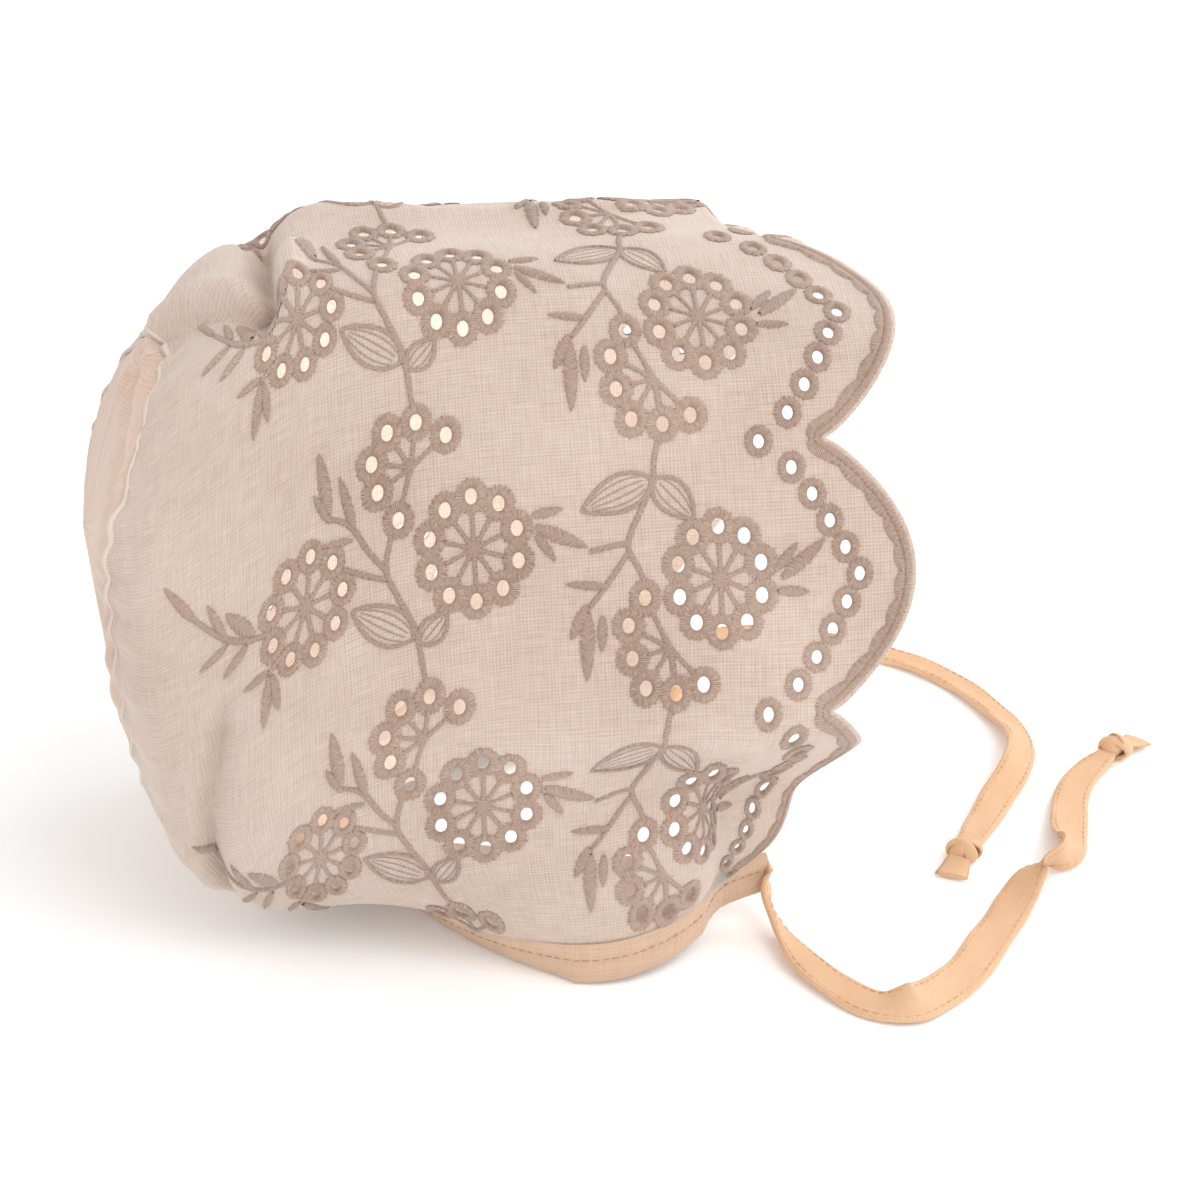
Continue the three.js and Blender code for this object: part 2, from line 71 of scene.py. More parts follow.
# Binding and ties
BINDING_THICK = 2.2
BINDING_WIDTH = 9
BINDING_LEAN = 5
BINDING_END = 6
TIE_WIDTH = 9.5
TIE_THICK = 1.1
HEM_COVER = 1.1
HEM_OVERLAP = 1
KNOT_SIZE = 0.88
KNOT_SIDES = 8
TABLE_GAP = 0.08

# Spacing of the lattice that keeps the form of the cloth, and the furthest places kept
LATTICE_STEP = 0.5
BACK_TIP = 161.5
EYELET_MARGIN = 3.6

# Section rows from the face to the back of the head:
# along, crown, side and hem back, crown up, then out and up for shoulder, upper, side, low and hem
SECTIONS = np.array([
    [-0.23, 1.0, 0.988, 0.976, 0.97, 0.25, 0.96, 0.65, 0.885, 1.0, 0.438, 0.90, 0.23, 0.73, 0.1],
    [0, 0.808, 0.802, 0.802, 0.985, 0.28, 0.973, 0.635, 0.877, 0.986, 0.438, 0.887, 0.21, 0.76, 0.09],
    [0.217, 0.623, 0.623, 0.629, 0.993, 0.352, 0.979, 0.592, 0.856, 0.93, 0.445, 0.9, 0.212, 0.925, 0.067],
    [0.435, 0.449, 0.443, 0.497, 0.996, 0.38, 0.979, 0.549, 0.829, 0.859, 0.459, 0.845, 0.185, 0.8, 0.053],
    [0.652, 0.281, 0.269, 0.395, 0.993, 0.324, 0.973, 0.493, 0.795, 0.775, 0.479, 0.704, 0.13, 0.52, 0.045],
    [0.833, 0.162, 0.132, 0.335, 0.945, 0.239, 0.925, 0.437, 0.767, 0.662, 0.521, 0.606, 0.095, 0.211, 0.045],
    [1.0, 0.096, 0.042, 0.299, 0.863, 0.141, 0.842, 0.38, 0.747, 0.535, 0.562, 0.479, 0.164, 0.065, 0.048],
    [1.1, 0.048, 0.015, 0.204, 0.774, 0.07, 0.76, 0.239, 0.685, 0.324, 0.575, 0.268, 0.315, 0.03, 0.205],
    [1.174, 0.003, 0.003, 0.004, 0.58, 0.002, 0.579, 0.004, 0.577, 0.005, 0.575, 0.004, 0.573, 0.002, 0.571],
])

# Folds: start and end along and across the cloth, reach and rise as shares of the width
FOLDS = {
    "crown groove": (0.2, -0.15, 0.52, -0.15, 0.045, -0.03),
    "crown ridge": (0.12, -0.07, 0.6, -0.1, 0.04, 0.01),
    "pinch down": (0.71, -0.1, 0.72, 0.11, 0.035, -0.035),
    "pinch back": (0.74, 0.11, 0.98, 0.03, 0.035, -0.03),
    "pinch lip": (0.66, 0.03, 0.69, 0.12, 0.03, 0.02),
    "chin crease": (-0.2, 0.7, 0.3, 0.7, 0.05, 0.018),
    "chin crease left": (-0.2, -0.7, 0.3, -0.7, 0.05, 0.018),
    "chin hollow": (-0.1, 0.83, 0.2, 0.8, 0.06, -0.02),
    "nape fold": (0.82, 0.56, 0.89, 0.77, 0.035, -0.025),
    "nape fold left": (0.8, -0.5, 0.88, -0.75, 0.035, -0.025),
}

# Sharper creases of the soft cloth: reach and rise in millimetres, then the places (back, down) of its line
CREASES = {
    "crown pinch": (2.4, -3.2, [(98, -12), (99, 6), (99, 15), (100, 18),
                                (104, 17.5), (112, 11), (122, 6), (137, 0)]),
    "pinch ridge": (2.6, 1.6, [(95, 2), (96, 10), (101, 13), (110, 6), (120, 1), (134, -5)]),
    "pinch lip": (2.6, 1.3, [(91, 4), (93.5, 15), (96.5, 20.5)]),
    "crown groove": (2.6, -1.0, [(76, -26), (57, -16), (41, -15), (28, -14.5), (17, -9)]),
    "shadow fold": (2.6, -1.4, [(97, 21), (108, 21.5), (125, 16), (138, 12)]),
    "seam ridge": (1.8, 1.2, [(122, 27), (131, 26), (140, 28), (144, 34),
                              (145, 52), (147, 68), (149.5, 104)]),
    "back fold": (2.2, -1.3, [(141, -6), (147, 12), (150, 40), (152, 80)]),
    "nape fold": (2.4, -1.9, [(112, 92), (117, 106), (120, 114), (121, 123), (122.5, 137)]),
    "nape ridge": (4, 1.1, [(106, 121), (98, 108), (88, 95)]),
    "chin ridge": (3, 1.3, [(56, 122), (41.5, 122.5), (23.5, 120.5), (4, 123.5)]),
    "chin fold": (3, -1.0, [(34, 131), (20, 129), (6, 131)]),
}

# The front corners tuck in under the chin, and the first scallop of the left side droops
TUCK = {"start": 0.64, "full": 0.86, "hem_start": 0.86, "axis": 0.174, "run": 0.217,
        "turn": 50, "hem_turn": 45, "inward": 0.3}
DROOP = {"start": 0.046, "full": -0.08, "last_full": -0.194, "end": -0.32, "axis": -0.0145, "turn": 52}


def smooth(start, end, x):
    t = np.clip((x - start) / (end - start), 0, 1)
    return t * t * (3 - 2 * t)


# The form of the cloth

def section_rows(places):
    """Every column of the section table at each place along the cloth."""
    knots = SECTIONS[:, 0]
    gaps = np.diff(knots)
    slopes = np.diff(SECTIONS, axis=0) / gaps[:, None]
    inner = (slopes[:-1] * gaps[1:, None] + slopes[1:] * gaps[:-1, None]) / (gaps[1:] + gaps[:-1])[:, None]
    tangents = np.vstack([slopes[:1], inner, slopes[-1:]])
    i = np.clip(np.searchsorted(knots, places, side="right") - 1, 0, len(knots) - 2)
    h = gaps[i][:, None]
    t = ((places - knots[i]) / gaps[i])[:, None]
    return ((2 * t**3 - 3 * t**2 + 1) * SECTIONS[i] + (t**3 - 2 * t**2 + t) * tangents[i] * h
            + (3 * t**2 - 2 * t**3) * SECTIONS[i + 1] + (t**3 - t**2) * tangents[i + 1] * h)


def section_points(row):
    """Control places of one section from the left hem over the crown to the right hem."""
    _, crown, side, hem, crown_up, *pairs = row
    low = side + LOW_SHARE * (hem - side)
    backs = [crown, crown, (crown + side) / 2, side, low, hem]
    outs = [0] + pairs[0::2]
    ups = [crown_up] + pairs[1::2]
    half = np.array([[LENGTH * (b - 0.5), -out * WIDTH / 2, up * HEIGHT]
                     for b, out, up in zip(backs, outs, ups)])
    mirror = half[:0:-1] * [1, -1, 1]
    return np.vstack([mirror, half])


def running_length(line):
    return np.concatenate([[0], np.cumsum(np.linalg.norm(np.diff(line, axis=0), axis=1))])


def places_at(line, run, at):
    """Places of a line at the running lengths in at."""
    return np.column_stack([np.interp(at, run, line[:, k]) for k in range(line.shape[1])])


def centripetal(points, steps):
    """Smooth line through points, with its running length."""
    ends = np.vstack([2 * points[0] - points[1], points, 2 * points[-1] - points[-2]])
    knots = np.concatenate([[0], np.cumsum(np.sqrt(np.linalg.norm(np.diff(ends, axis=0), axis=1)) + 1e-6)])
    pieces = []
    for i in range(1, len(ends) - 2):
        t0, t1, t2, t3 = knots[i - 1:i + 3]
        p0, p1, p2, p3 = ends[i - 1:i + 3]
        t = np.linspace(t1, t2, steps, endpoint=i == len(ends) - 3)[:, None]
        a1 = (t1 - t) / (t1 - t0) * p0 + (t - t0) / (t1 - t0) * p1
        a2 = (t2 - t) / (t2 - t1) * p1 + (t - t1) / (t2 - t1) * p2
        a3 = (t3 - t) / (t3 - t2) * p2 + (t - t2) / (t3 - t2) * p3
        b1 = (t2 - t) / (t2 - t0) * a1 + (t - t0) / (t2 - t0) * a2
        b2 = (t3 - t) / (t3 - t1) * a2 + (t - t1) / (t3 - t1) * a3
        pieces.append((t2 - t) / (t2 - t1) * b1 + (t - t1) / (t2 - t1) * b2)
    line = np.vstack(pieces)
    return line, running_length(line)


ALONG = np.arange(-34, 162.01, LATTICE_STEP)
ACROSS = np.arange(-HALF_EDGE, HALF_EDGE + 0.01, LATTICE_STEP)


def segment_distance(along, across, start, end):
    """Distance of places on the cloth from the straight line between two of them."""
    run = end - start
    t = np.clip(((along - start[0]) * run[0] + (across - start[1]) * run[1]) / (run @ run), 0, 1)
    return np.hypot(along - start[0] - t * run[0], across - start[1] - t * run[1])


def fold_rise(along, across):
    rise = np.zeros_like(along)
    cloth = np.array([CLOTH_DEPTH, HALF_EDGE])
    for at0, across0, at1, across1, reach, height in FOLDS.values():
        distance = segment_distance(along, across, [at0, across0] * cloth, [at1, across1] * cloth)
        rise += height * WIDTH * np.exp(-((distance / (reach * WIDTH)) ** 2))
    return rise


def crease_rise(along, across):
    rise = np.zeros_like(along)
    for reach, height, places in CREASES.values():
        line = np.array(places, float)
        distances = [segment_distance(along, across, start, end) for start, end in zip(line[:-1], line[1:])]
        rise += height * np.exp(-((np.min(distances, axis=0) / reach) ** 2))
    return rise


def seam_along(across):
    side = np.abs(across) / HALF_EDGE
    return CLOTH_DEPTH * (1 + SEAM_SWELL * smooth(0.1, 0.3, side) * (1 - smooth(0.6, 0.9, side)))


def soft_wrinkles(along, across):
    """Slack of soft cotton: gathers that run out from the back seam, and shallow waves."""
    to_seam = seam_along(across) - along
    gathers = np.where(to_seam > 0, np.exp(-to_seam / 16), np.exp(to_seam / 9))
    pleat = np.sin(across * 0.62 + 1.4 * np.sin(across * 0.11) + to_seam * 0.03)
    ripple = np.sin(across * 0.13 + along * 0.05) * np.sin(along * 0.09 - across * 0.02 + 1)
    waves = 0.35 * (1 - smooth(140, 156, along)) * ripple
    return 0.6 * gathers * pleat * (1 - smooth(150, 170, np.abs(across))) + waves


def unit(vectors):
    return vectors / (np.linalg.norm(vectors, axis=-1, keepdims=True) + 1e-12)


def facing(surface):
    back = np.gradient(surface, axis=0)
    right = np.gradient(surface, axis=1)
    return unit(np.cross(back, right))


def cloth_lattice():
    """Places of the cloth on its lattice, with folds, and the way each faces."""
    surface = np.empty((len(ALONG), len(ACROSS), 3))
    share = (ACROSS / HALF_EDGE + 1) / 2
    for i, row in enumerate(section_rows(ALONG / CLOTH_DEPTH)):
        line, run = centripetal(section_points(row), 24)
        for axis in range(3):
            surface[i, :, axis] = np.interp(share, run / run[-1], line[:, axis])
    along, across = np.meshgrid(ALONG, ACROSS, indexing="ij")
    side = np.abs(across) / HALF_EDGE
    axis = TUCK["axis"] * CLOTH_DEPTH
    opened = math.radians(TUCK["turn"] - TUCK["hem_turn"]) * smooth(TUCK["hem_start"], 1, side)
    turn = math.radians(TUCK["turn"]) * smooth(TUCK["start"], TUCK["full"], side) - opened
    turn *= smooth(axis, axis - TUCK["run"] * CLOTH_DEPTH, along)
    hinge = surface[int(round((axis - ALONG[0]) / LATTICE_STEP)), :, 0]
    forward = surface[:, :, 0] - hinge[None, :]
    surface[:, :, 0] -= forward * (1 - np.cos(turn))
    surface[:, :, 1] += np.sign(across) * forward * np.sin(turn) * TUCK["inward"]
    place = across / HALF_EDGE
    droop = math.radians(DROOP["turn"]) * smooth(DROOP["start"], DROOP["full"], place)
    droop *= 1 - smooth(DROOP["last_full"], DROOP["end"], place)
    beyond = np.maximum(DROOP["axis"] * CLOTH_DEPTH - along, 0)
    surface[:, :, 0] -= beyond * (1 - np.cos(droop))
    surface[:, :, 2] -= beyond * np.sin(droop)
    rise = fold_rise(along, across) + crease_rise(along, across) + soft_wrinkles(along, across)
    surface += facing(surface) * rise[:, :, None]
    surface[:, :, 0] += FRAME_FORWARD
    return surface, facing(surface)


CLOTH, CLOTH_FACING = cloth_lattice()


def on_cloth(along, across, lift=0.0):
    """Places on the cloth, lifted off it, in millimetres."""
    along = np.asarray(along, float)
    across = np.asarray(across, float)
    u = np.clip((along - ALONG[0]) / LATTICE_STEP, 0, len(ALONG) - 1.001)
    v = np.clip((across - ACROSS[0]) / LATTICE_STEP, 0, len(ACROSS) - 1.001)
    i, j = u.astype(int), v.astype(int)
    a, b = (u - i)[..., None], (v - j)[..., None]

    def blend(grid):
        return ((1 - a) * (1 - b) * grid[i, j] + a * (1 - b) * grid[i + 1, j]
                + (1 - a) * b * grid[i, j + 1] + a * b * grid[i + 1, j + 1])

    return blend(CLOTH) + unit(blend(CLOTH_FACING)) * np.asarray(lift, float)[..., None]


def edge_along(across):
    t = np.mod(np.asarray(across, float) - SCALLOP_SHIFT, SCALLOP_PITCH) / SCALLOP_PITCH
    return -EDGE_MARGIN - SCALLOP_RISE * np.sin(np.pi * t) ** 0.8


# The embroidery pattern, one repeat for every scallop
# back is the distance behind the eyelet row and down the distance from the notch, in millimetres

EYELET_RINGS = {
    "front spray": {"back": 9, "down": 28, "wide": 8.6, "tall": 11, "count": 10, "size": 1.0},
    "middle spray": {"back": 57.5, "down": 18, "wide": 9.3, "tall": 10.8, "count": 10, "size": 1.0},
    "back spray": {"back": 92.5, "down": 19.5, "wide": 7.8, "tall": 9.3, "count": 9, "size": 0.84},
}
EYELET_CLUSTERS = {
    "front cluster": {
        "root": (19.5, 42),
        "eyelets": [(24, 31), (27.5, 36.5), (27, 43.5), (24.5, 50), (18.5, 51.5), (13, 50)],
    },
    "middle cluster": {
        "root": (69.5, -0.5),
        "eyelets": [(62, -6), (68, -9.5), (74, -8.5), (77.5, -3), (76.5, 3), (72.5, 9.5)],
    },
}
BORDER_EYELETS = 10

STEMS = [
    [(19.8, -1), (20.8, 3), (21.2, 7.3), (24, 13), (26.8, 20), (24.5, 26), (24, 29)],
    [(26.8, 19.5), (30, 19.8), (34.4, 20.6)],
    [(26.9, 21.5), (31.4, 27.6), (35, 32)],
    [(19.5, 42), (19.1, 45), (18.9, 48)],
    [(74, 11.6), (75.5, 19), (73.3, 25), (70.3, 32), (69, 40), (68.5, 44)],
    [(75.5, 19), (79, 14), (81.7, 9), (84, 6.5), (86.7, 5)],
    [(75.6, 20.8), (80, 18.5), (84.3, 15.7)],
    [(100.4, 20), (105.7, 18), (110, 15), (117, 8.5)],
    [(98, 25.5), (101, 27.3)],
]

# Satin leaves from base to tip, and their width
SATIN_LEAVES = [
    (-1.8, 26.5, -6.7, 21, 2.3), (-3.3, 28, -12.3, 20.5, 3.2), (-2.4, 30.5, -8.7, 31, 2.4),
    (31.5, 28, 39.5, 27, 2.0), (35.5, 31.5, 39, 38.5, 2.8), (35.5, 33, 36.2, 47.3, 3.2),
    (32.6, 34, 33, 41.5, 2.2), (86.8, 4, 88.6, -8.7, 2.9), (81.7, 8.6, 84.3, -2.5, 2.2),
    (86.6, 5.7, 90, -1, 2.0), (82, 10.8, 89, 9.6, 1.7), (45.6, 12.4, 39.3, 11.4, 2.3),
    (45, 14.7, 35, 19.6, 3.2), (45, 16.3, 41.3, 22, 2.1), (117, 8.5, 125.6, -1.6, 2.2),
    (110, 14.6, 114, 6.8, 2.0), (103.7, 18, 109.6, 10.6, 2.9), (109.4, 16.4, 116.7, 18.4, 1.8),
    (105.2, 19, 111, 22.2, 2.2), (101, 26.8, 106.7, 27.5, 1.9), (101, 27.8, 102.8, 37.6, 2.5),
    (100.4, 28, 99.5, 36, 2.0),
]

# Outlined leaves from base to tip, their width and number of veins
OUTLINED_LEAVES = [
    (21.4, 6.5, 35.6, 12.2, 7.4, 4), (20.8, 6.5, 13.6, 15.5, 6.4, 3),
    (70.6, 34, 82.9, 24.6, 7.2, 4), (69, 35.5, 63.6, 30.2, 5.4, 3),
]


def pattern_starts():
    first = math.floor((-HALF_EDGE - SCALLOP_SHIFT) / SCALLOP_PITCH) - 1
    last = math.ceil(HALF_EDGE / SCALLOP_PITCH) + 1
    return [SCALLOP_SHIFT + k * SCALLOP_PITCH for k in range(first, last)]


def on_the_panel(back, down, margin):
    inside = np.abs(down) < HALF_EDGE - margin
    return inside and edge_along(down) + margin < back < seam_along(down) - margin


def eyelet_list():
    """Every eyelet: back, down, size, and the place its inner stem comes from."""
    eyelets = []
    for start in pattern_starts():
        for ring in EYELET_RINGS.values():
            root = (ring["back"], start + ring["down"])
            for n in range(ring["count"]):
                turn = 2 * math.pi * (n + 0.5) / ring["count"]
                back = ring["back"] + ring["wide"] * math.cos(turn)
                down = start + ring["down"] + ring["tall"] * math.sin(turn)
                eyelets.append((back, down, ring["size"], root))
        for cluster in EYELET_CLUSTERS.values():
            root = (cluster["root"][0], start + cluster["root"][1])
            for back, down in cluster["eyelets"]:
                eyelets.append((back, start + down, 1.0, root))
        for n in range(BORDER_EYELETS):
            t = n / BORDER_EYELETS
            back = -19.4 * (1 - abs(1 - 2 * t)) ** 0.7
            eyelets.append((back, start + t * SCALLOP_PITCH, 0.86, None))
    return [e for e in eyelets if on_the_panel(e[0], e[1], EYELET_MARGIN)]


EYELETS = eyelet_list()


# Meshes

def new_piece(name, places, faces, uv=None, uv_name="cloth"):
    """A mesh piece from places in millimetres, standing at the origin."""
    mesh = bpy.data.meshes.new(name)
    mesh.from_pydata((np.asarray(places) * MM).tolist(), [], faces)
    if uv is not None:
        layer = mesh.uv_layers.new(name=uv_name)
        corners = np.empty(len(mesh.loops), int)
        mesh.loops.foreach_get("vertex_index", corners)
        layer.data.foreach_set("uv", np.asarray(uv, float)[corners].ravel())
    mesh.update()
    mesh.validate()
    piece = bpy.data.objects.new(name, mesh)
    bpy.context.scene.collection.objects.link(piece)
    return piece


def select_only(piece):
    bpy.ops.object.select_all(action="DESELECT")
    bpy.context.view_layer.objects.active = piece
    piece.select_set(True)


def finish_faces(piece, angle=180):
    select_only(piece)
    bpy.ops.object.shade_smooth_by_angle(angle=math.radians(angle))
    bpy.ops.object.select_all(action="DESELECT")


def finish_solid(piece, angle=180):
    """Turn the faces of a closed piece outward, and smooth it."""
    select_only(piece)
    bpy.ops.object.mode_set(mode="EDIT")
    bpy.ops.mesh.select_all(action="SELECT")
    bpy.ops.mesh.normals_make_consistent(inside=False)
    bpy.ops.object.mode_set(mode="OBJECT")
    finish_faces(piece, angle)


def apply_wall(piece, thick):
    """Give a sheet its thickness, half to each side."""
    select_only(piece)
    wall = piece.modifiers.new("wall", "SOLIDIFY")
    wall.thickness = thick * MM
    wall.offset = 0
    bpy.ops.object.modifier_apply(modifier=wall.name)
    bpy.ops.object.select_all(action="DESELECT")


def strip_faces(rows, count, closed=False, turned=False):
    """Faces between neighbouring rows of count places, and from the last row to the first where closed."""
    faces = []
    for r in range(rows if closed else rows - 1):
        for k in range(count - 1):
            a = r * count + k
            b = (r + 1) % rows * count + k
            faces.append((a, b, b + 1, a + 1) if turned else (a, a + 1, b + 1, b))
    return faces


def tube_faces(rows, count):
    """Faces of a closed strip with a cap at either end."""
    faces = strip_faces(rows, count, closed=True)
    faces.append(tuple(r * count for r in range(rows)))
    faces.append(tuple(r * count + count - 1 for r in range(rows))[::-1])
    return faces


def hoop_faces(first, hoops, sides, closed=False):
    """Faces of a bar or ring whose places run hoop by hoop, with caps unless it is closed."""
    faces = []
    for r in range(hoops if closed else hoops - 1):
        here = first + r * sides
        there = first + (r + 1) % hoops * sides
        for k in range(sides):
            n = (k + 1) % sides
            faces.append((here + k, here + n, there + n, there + k))
    if not closed:
        faces.append(tuple(first + k for k in range(sides))[::-1])
        faces.append(tuple(first + (hoops - 1) * sides + k for k in range(sides)))
    return faces


def oval(back, down, wide, tall, count):
    turns = 2 * np.pi * np.arange(count) / count
    return np.column_stack([back + wide / 2 * np.cos(turns), down + tall / 2 * np.sin(turns)])


def hole_share(along, across, eyelet, gap=0.0):
    """Distance from the middle of an eyelet, as a share of the way to its rim and the gap outside it."""
    back, down, size, _ = eyelet
    wide = EYELET_WIDE * size / 2 + gap
    tall = EYELET_TALL * size / 2 + gap
    return np.hypot((along - back) / wide, (across - down) / tall)


def between_edges(along, across, gap=0.0):
    return (along > edge_along(across) + gap) & (along < seam_along(across) - gap)


def pierced_cloth(step):
    """Flat net of the embroidered cloth with its eyelets left open."""
    row_share = 0.87
    rim_gap = 0.6
    hole_gap = 0.55
    rim_across = np.arange(-HALF_EDGE, HALF_EDGE + 0.01, 1.0)
    front = np.column_stack([edge_along(rim_across), rim_across])
    back = np.column_stack([seam_along(rim_across), rim_across])
    loops = [np.vstack([front, back[::-1]])]
    for along, across, size, _ in EYELETS:
        loops.append(oval(along, across, EYELET_WIDE * size, EYELET_TALL * size, 12))
    net = []
    for n, along in enumerate(np.arange(-32, 150, step * row_share)):
        across = np.arange(-HALF_EDGE + step * (0.5 if n % 2 else 1.0), HALF_EDGE - 0.4 * step, step)
        net.append(np.column_stack([np.full_like(across, along), across]))
    net = np.vstack(net)
    keep = between_edges(net[:, 0], net[:, 1], rim_gap)
    for eyelet in EYELETS:
        keep &= hole_share(net[:, 0], net[:, 1], eyelet, hole_gap) > 1
    places = list(net[keep])
    edges = []
    for loop in loops:
        first = len(places)
        places.extend(loop)
        edges.extend((first + k, first + (k + 1) % len(loop)) for k in range(len(loop)))
    cut = delaunay_2d_cdt([Vector((a, b)) for a, b in places], edges, [], 0, 1e-4)
    flat = np.array([tuple(v) for v in cut[0]])
    faces = np.array([f for f in cut[2] if len(f) == 3])
    corners = flat[faces]
    middle = corners.mean(axis=1)
    inside = between_edges(middle[:, 0], middle[:, 1])
    for eyelet in EYELETS:
        inside &= ~np.all(hole_share(corners[:, :, 0], corners[:, :, 1], eyelet) < 1.01, axis=1)
    return flat, faces[inside]


def outward_faces(places, faces):
    """Faces turned so that most of them look away from the middle of the bonnet."""
    corners = places[faces]
    normal = np.cross(corners[:, 1] - corners[:, 0], corners[:, 2] - corners[:, 0])
    side = np.einsum("ij,ij->i", normal, corners.mean(axis=1) - [0, 0, 60])
    return faces[:, ::-1] if np.median(side) < 0 else faces


def embroidered_cloth():
    flat, faces = pierced_cloth(1.55)
    to_seam = seam_along(flat[:, 1]) - flat[:, 0]
    lift = 0.5 * np.exp(-(((to_seam - 0.9) / 0.9) ** 2))
    places = on_cloth(flat[:, 0], flat[:, 1], lift)
    piece = new_piece("embroidered_cloth", places, outward_faces(places, faces).tolist(), flat[:, ::-1] / 100)
    apply_wall(piece, CLOTH_THICK)
    finish_faces(piece)
    return piece


def plain_back():
    """Plain cloth at the back of the head, tucked under the seam of the panel."""
    around = 176
    rings = 26
    across = HALF_EDGE * (2 * np.arange(around) / (around - 1) - 1)
    places, faces = [], []
    for i in range(rings + 1):
        share = i / rings
        start = seam_along(across) - 1.2
        along = start + (BACK_TIP - start) * share
        lift = -0.75 * (1 - smooth(0, 0.08, share)) * np.ones_like(across)
        places.append(on_cloth(along, across, lift))
    for i in range(rings):
        for j in range(around):
            k = (j + 1) % around
            faces.append((i * around + j, (i + 1) * around + j, (i + 1) * around + k, i * around + k))
    places = np.vstack(places)
    tip = places[-around:].mean(axis=0)
    places = np.vstack([places, tip])
    uv = places[:, 1:] / 100
    last = rings * around
    faces += [(last + j, len(places) - 1, last + (j + 1) % around) for j in range(around)]
    corners = places[np.array(faces[0])[:3]]
    normal = np.cross(corners[1] - corners[0], corners[2] - corners[0])
    if normal @ (corners.mean(axis=0) - [0, 0, 60]) < 0:
        faces = [f[::-1] for f in faces]
    piece = new_piece("plain_back", places, faces, uv)
    apply_wall(piece, CLOTH_THICK)
    finish_faces(piece)
    return piece


class ThreadWork:
    """Collects raised stitching that is laid on the cloth."""

    def __init__(self):
        self.places, self.faces, self.uv = [], [], []
        self.count = 0

    def add(self, places, faces, uv):
        self.places.append(places)
        self.faces.extend([tuple(c + self.count for c in f) for f in faces])
        self.uv.append(uv)
        self.count += len(places)

    def piece(self, name):
        piece = new_piece(name, np.vstack(self.places), self.faces, np.vstack(self.uv), "thread")
        finish_faces(piece)
        return piece


def ring_stitch(work, back, down, size):
    """Overcast ring round one eyelet, worked as short stitches that point outward."""
    count = 36
    hole = np.array([EYELET_WIDE * size, EYELET_TALL * size]) / 2
    rim = np.array([RING_WIDE, RING_TALL]) * size / 2
    shares = [(-0.1, -0.4), (0.1, 0.9), (0.5, 1.1), (0.82, 0.85), (1.0, 0.3)]
    places, uv = [], []
    turns = 2 * np.pi * np.arange(count + 1) / count
    uneven = 0.03 * np.sin(turns * 2 + back) + 0.06 * np.cos(turns * count / 2)
    uneven += 0.04 * np.sin(turns * 9 + down)
    for share, height in shares:
        reach = hole + (rim - hole) * share
        grow = 1 + uneven * max(share, 0) ** 3
        along = back + reach[0] * np.cos(turns) * grow
        across = down + reach[1] * np.sin(turns) * grow
        places.append(on_cloth(along, across, CLOTH_THICK / 2 + height * THREAD_RISE))
        uv.append(np.column_stack([turns / (2 * np.pi) * 1.6, np.full(count + 1, down * 0.1 + share * 0.2)]))
    work.add(np.vstack(places), strip_faces(len(shares), count + 1, turned=True), np.vstack(uv))


def lay_thread(work, path, run, half, profile, rise, fullness=1.0, slant=0.0):
    """Raised stitching along a path on the cloth. The profile gives its offsets and heights as shares."""
    ahead = unit(np.gradient(path, axis=0))
    beside = np.column_stack([-ahead[:, 1], ahead[:, 0]])
    places, uv = [], []
    for offset, height in profile:
        spot = path + beside * (half * offset)[:, None]
        spot += ahead * (slant * half * (1 - abs(offset)))[:, None]
        places.append(on_cloth(spot[:, 0], spot[:, 1], CLOTH_THICK / 2 + rise * height * fullness))
        uv.append(np.column_stack([run / 10, np.full(len(path), offset * 0.1)]))
    work.add(np.vstack(places), strip_faces(len(profile), len(path)), np.vstack(uv))


def satin_line(work, points, widths, slant=0.0, step=0.9, rise=THREAD_RISE, notch=0.06):
    """Raised line of close stitches along points on the cloth, as wide as widths says from end to end."""
    points = np.array(points, float)
    if len(points) > 2:
        line, run = centripetal(points, 12)
    else:
        line, run = points, running_length(points)
    count = max(3, int(run[-1] / step)) + 1
    at = np.linspace(0, run[-1], count)
    half = np.interp(at / run[-1], np.linspace(0, 1, len(widths)), widths) / 2
    half *= 1 + notch * np.cos(np.pi * np.arange(count)) + notch * np.sin(np.arange(count) * 1.7)
    profile = [(-1, -0.1), (-0.55, 0.8), (0, 1), (0.55, 0.8), (1, -0.1)]
    lay_thread(work, places_at(line, run, at), at, half, profile, rise, np.clip(half / 0.5, 0.3, 1), slant)


LEAF_WIDTHS = np.array([0.35, 0.8, 1.0, 0.98, 0.85, 0.6, 0.15])


def leaf_outline(base, tip, width, bow):
    """One side of a pointed leaf."""
    base, tip = np.array(base, float), np.array(tip, float)
    run = tip - base
    beside = np.array([-run[1], run[0]]) / np.linalg.norm(run)
    t = np.linspace(0, 1, 9)
    swell = np.sin(np.pi * t ** 0.8) ** 0.85
    return base + run * t[:, None] + beside * (bow * width / 2 * swell)[:, None]


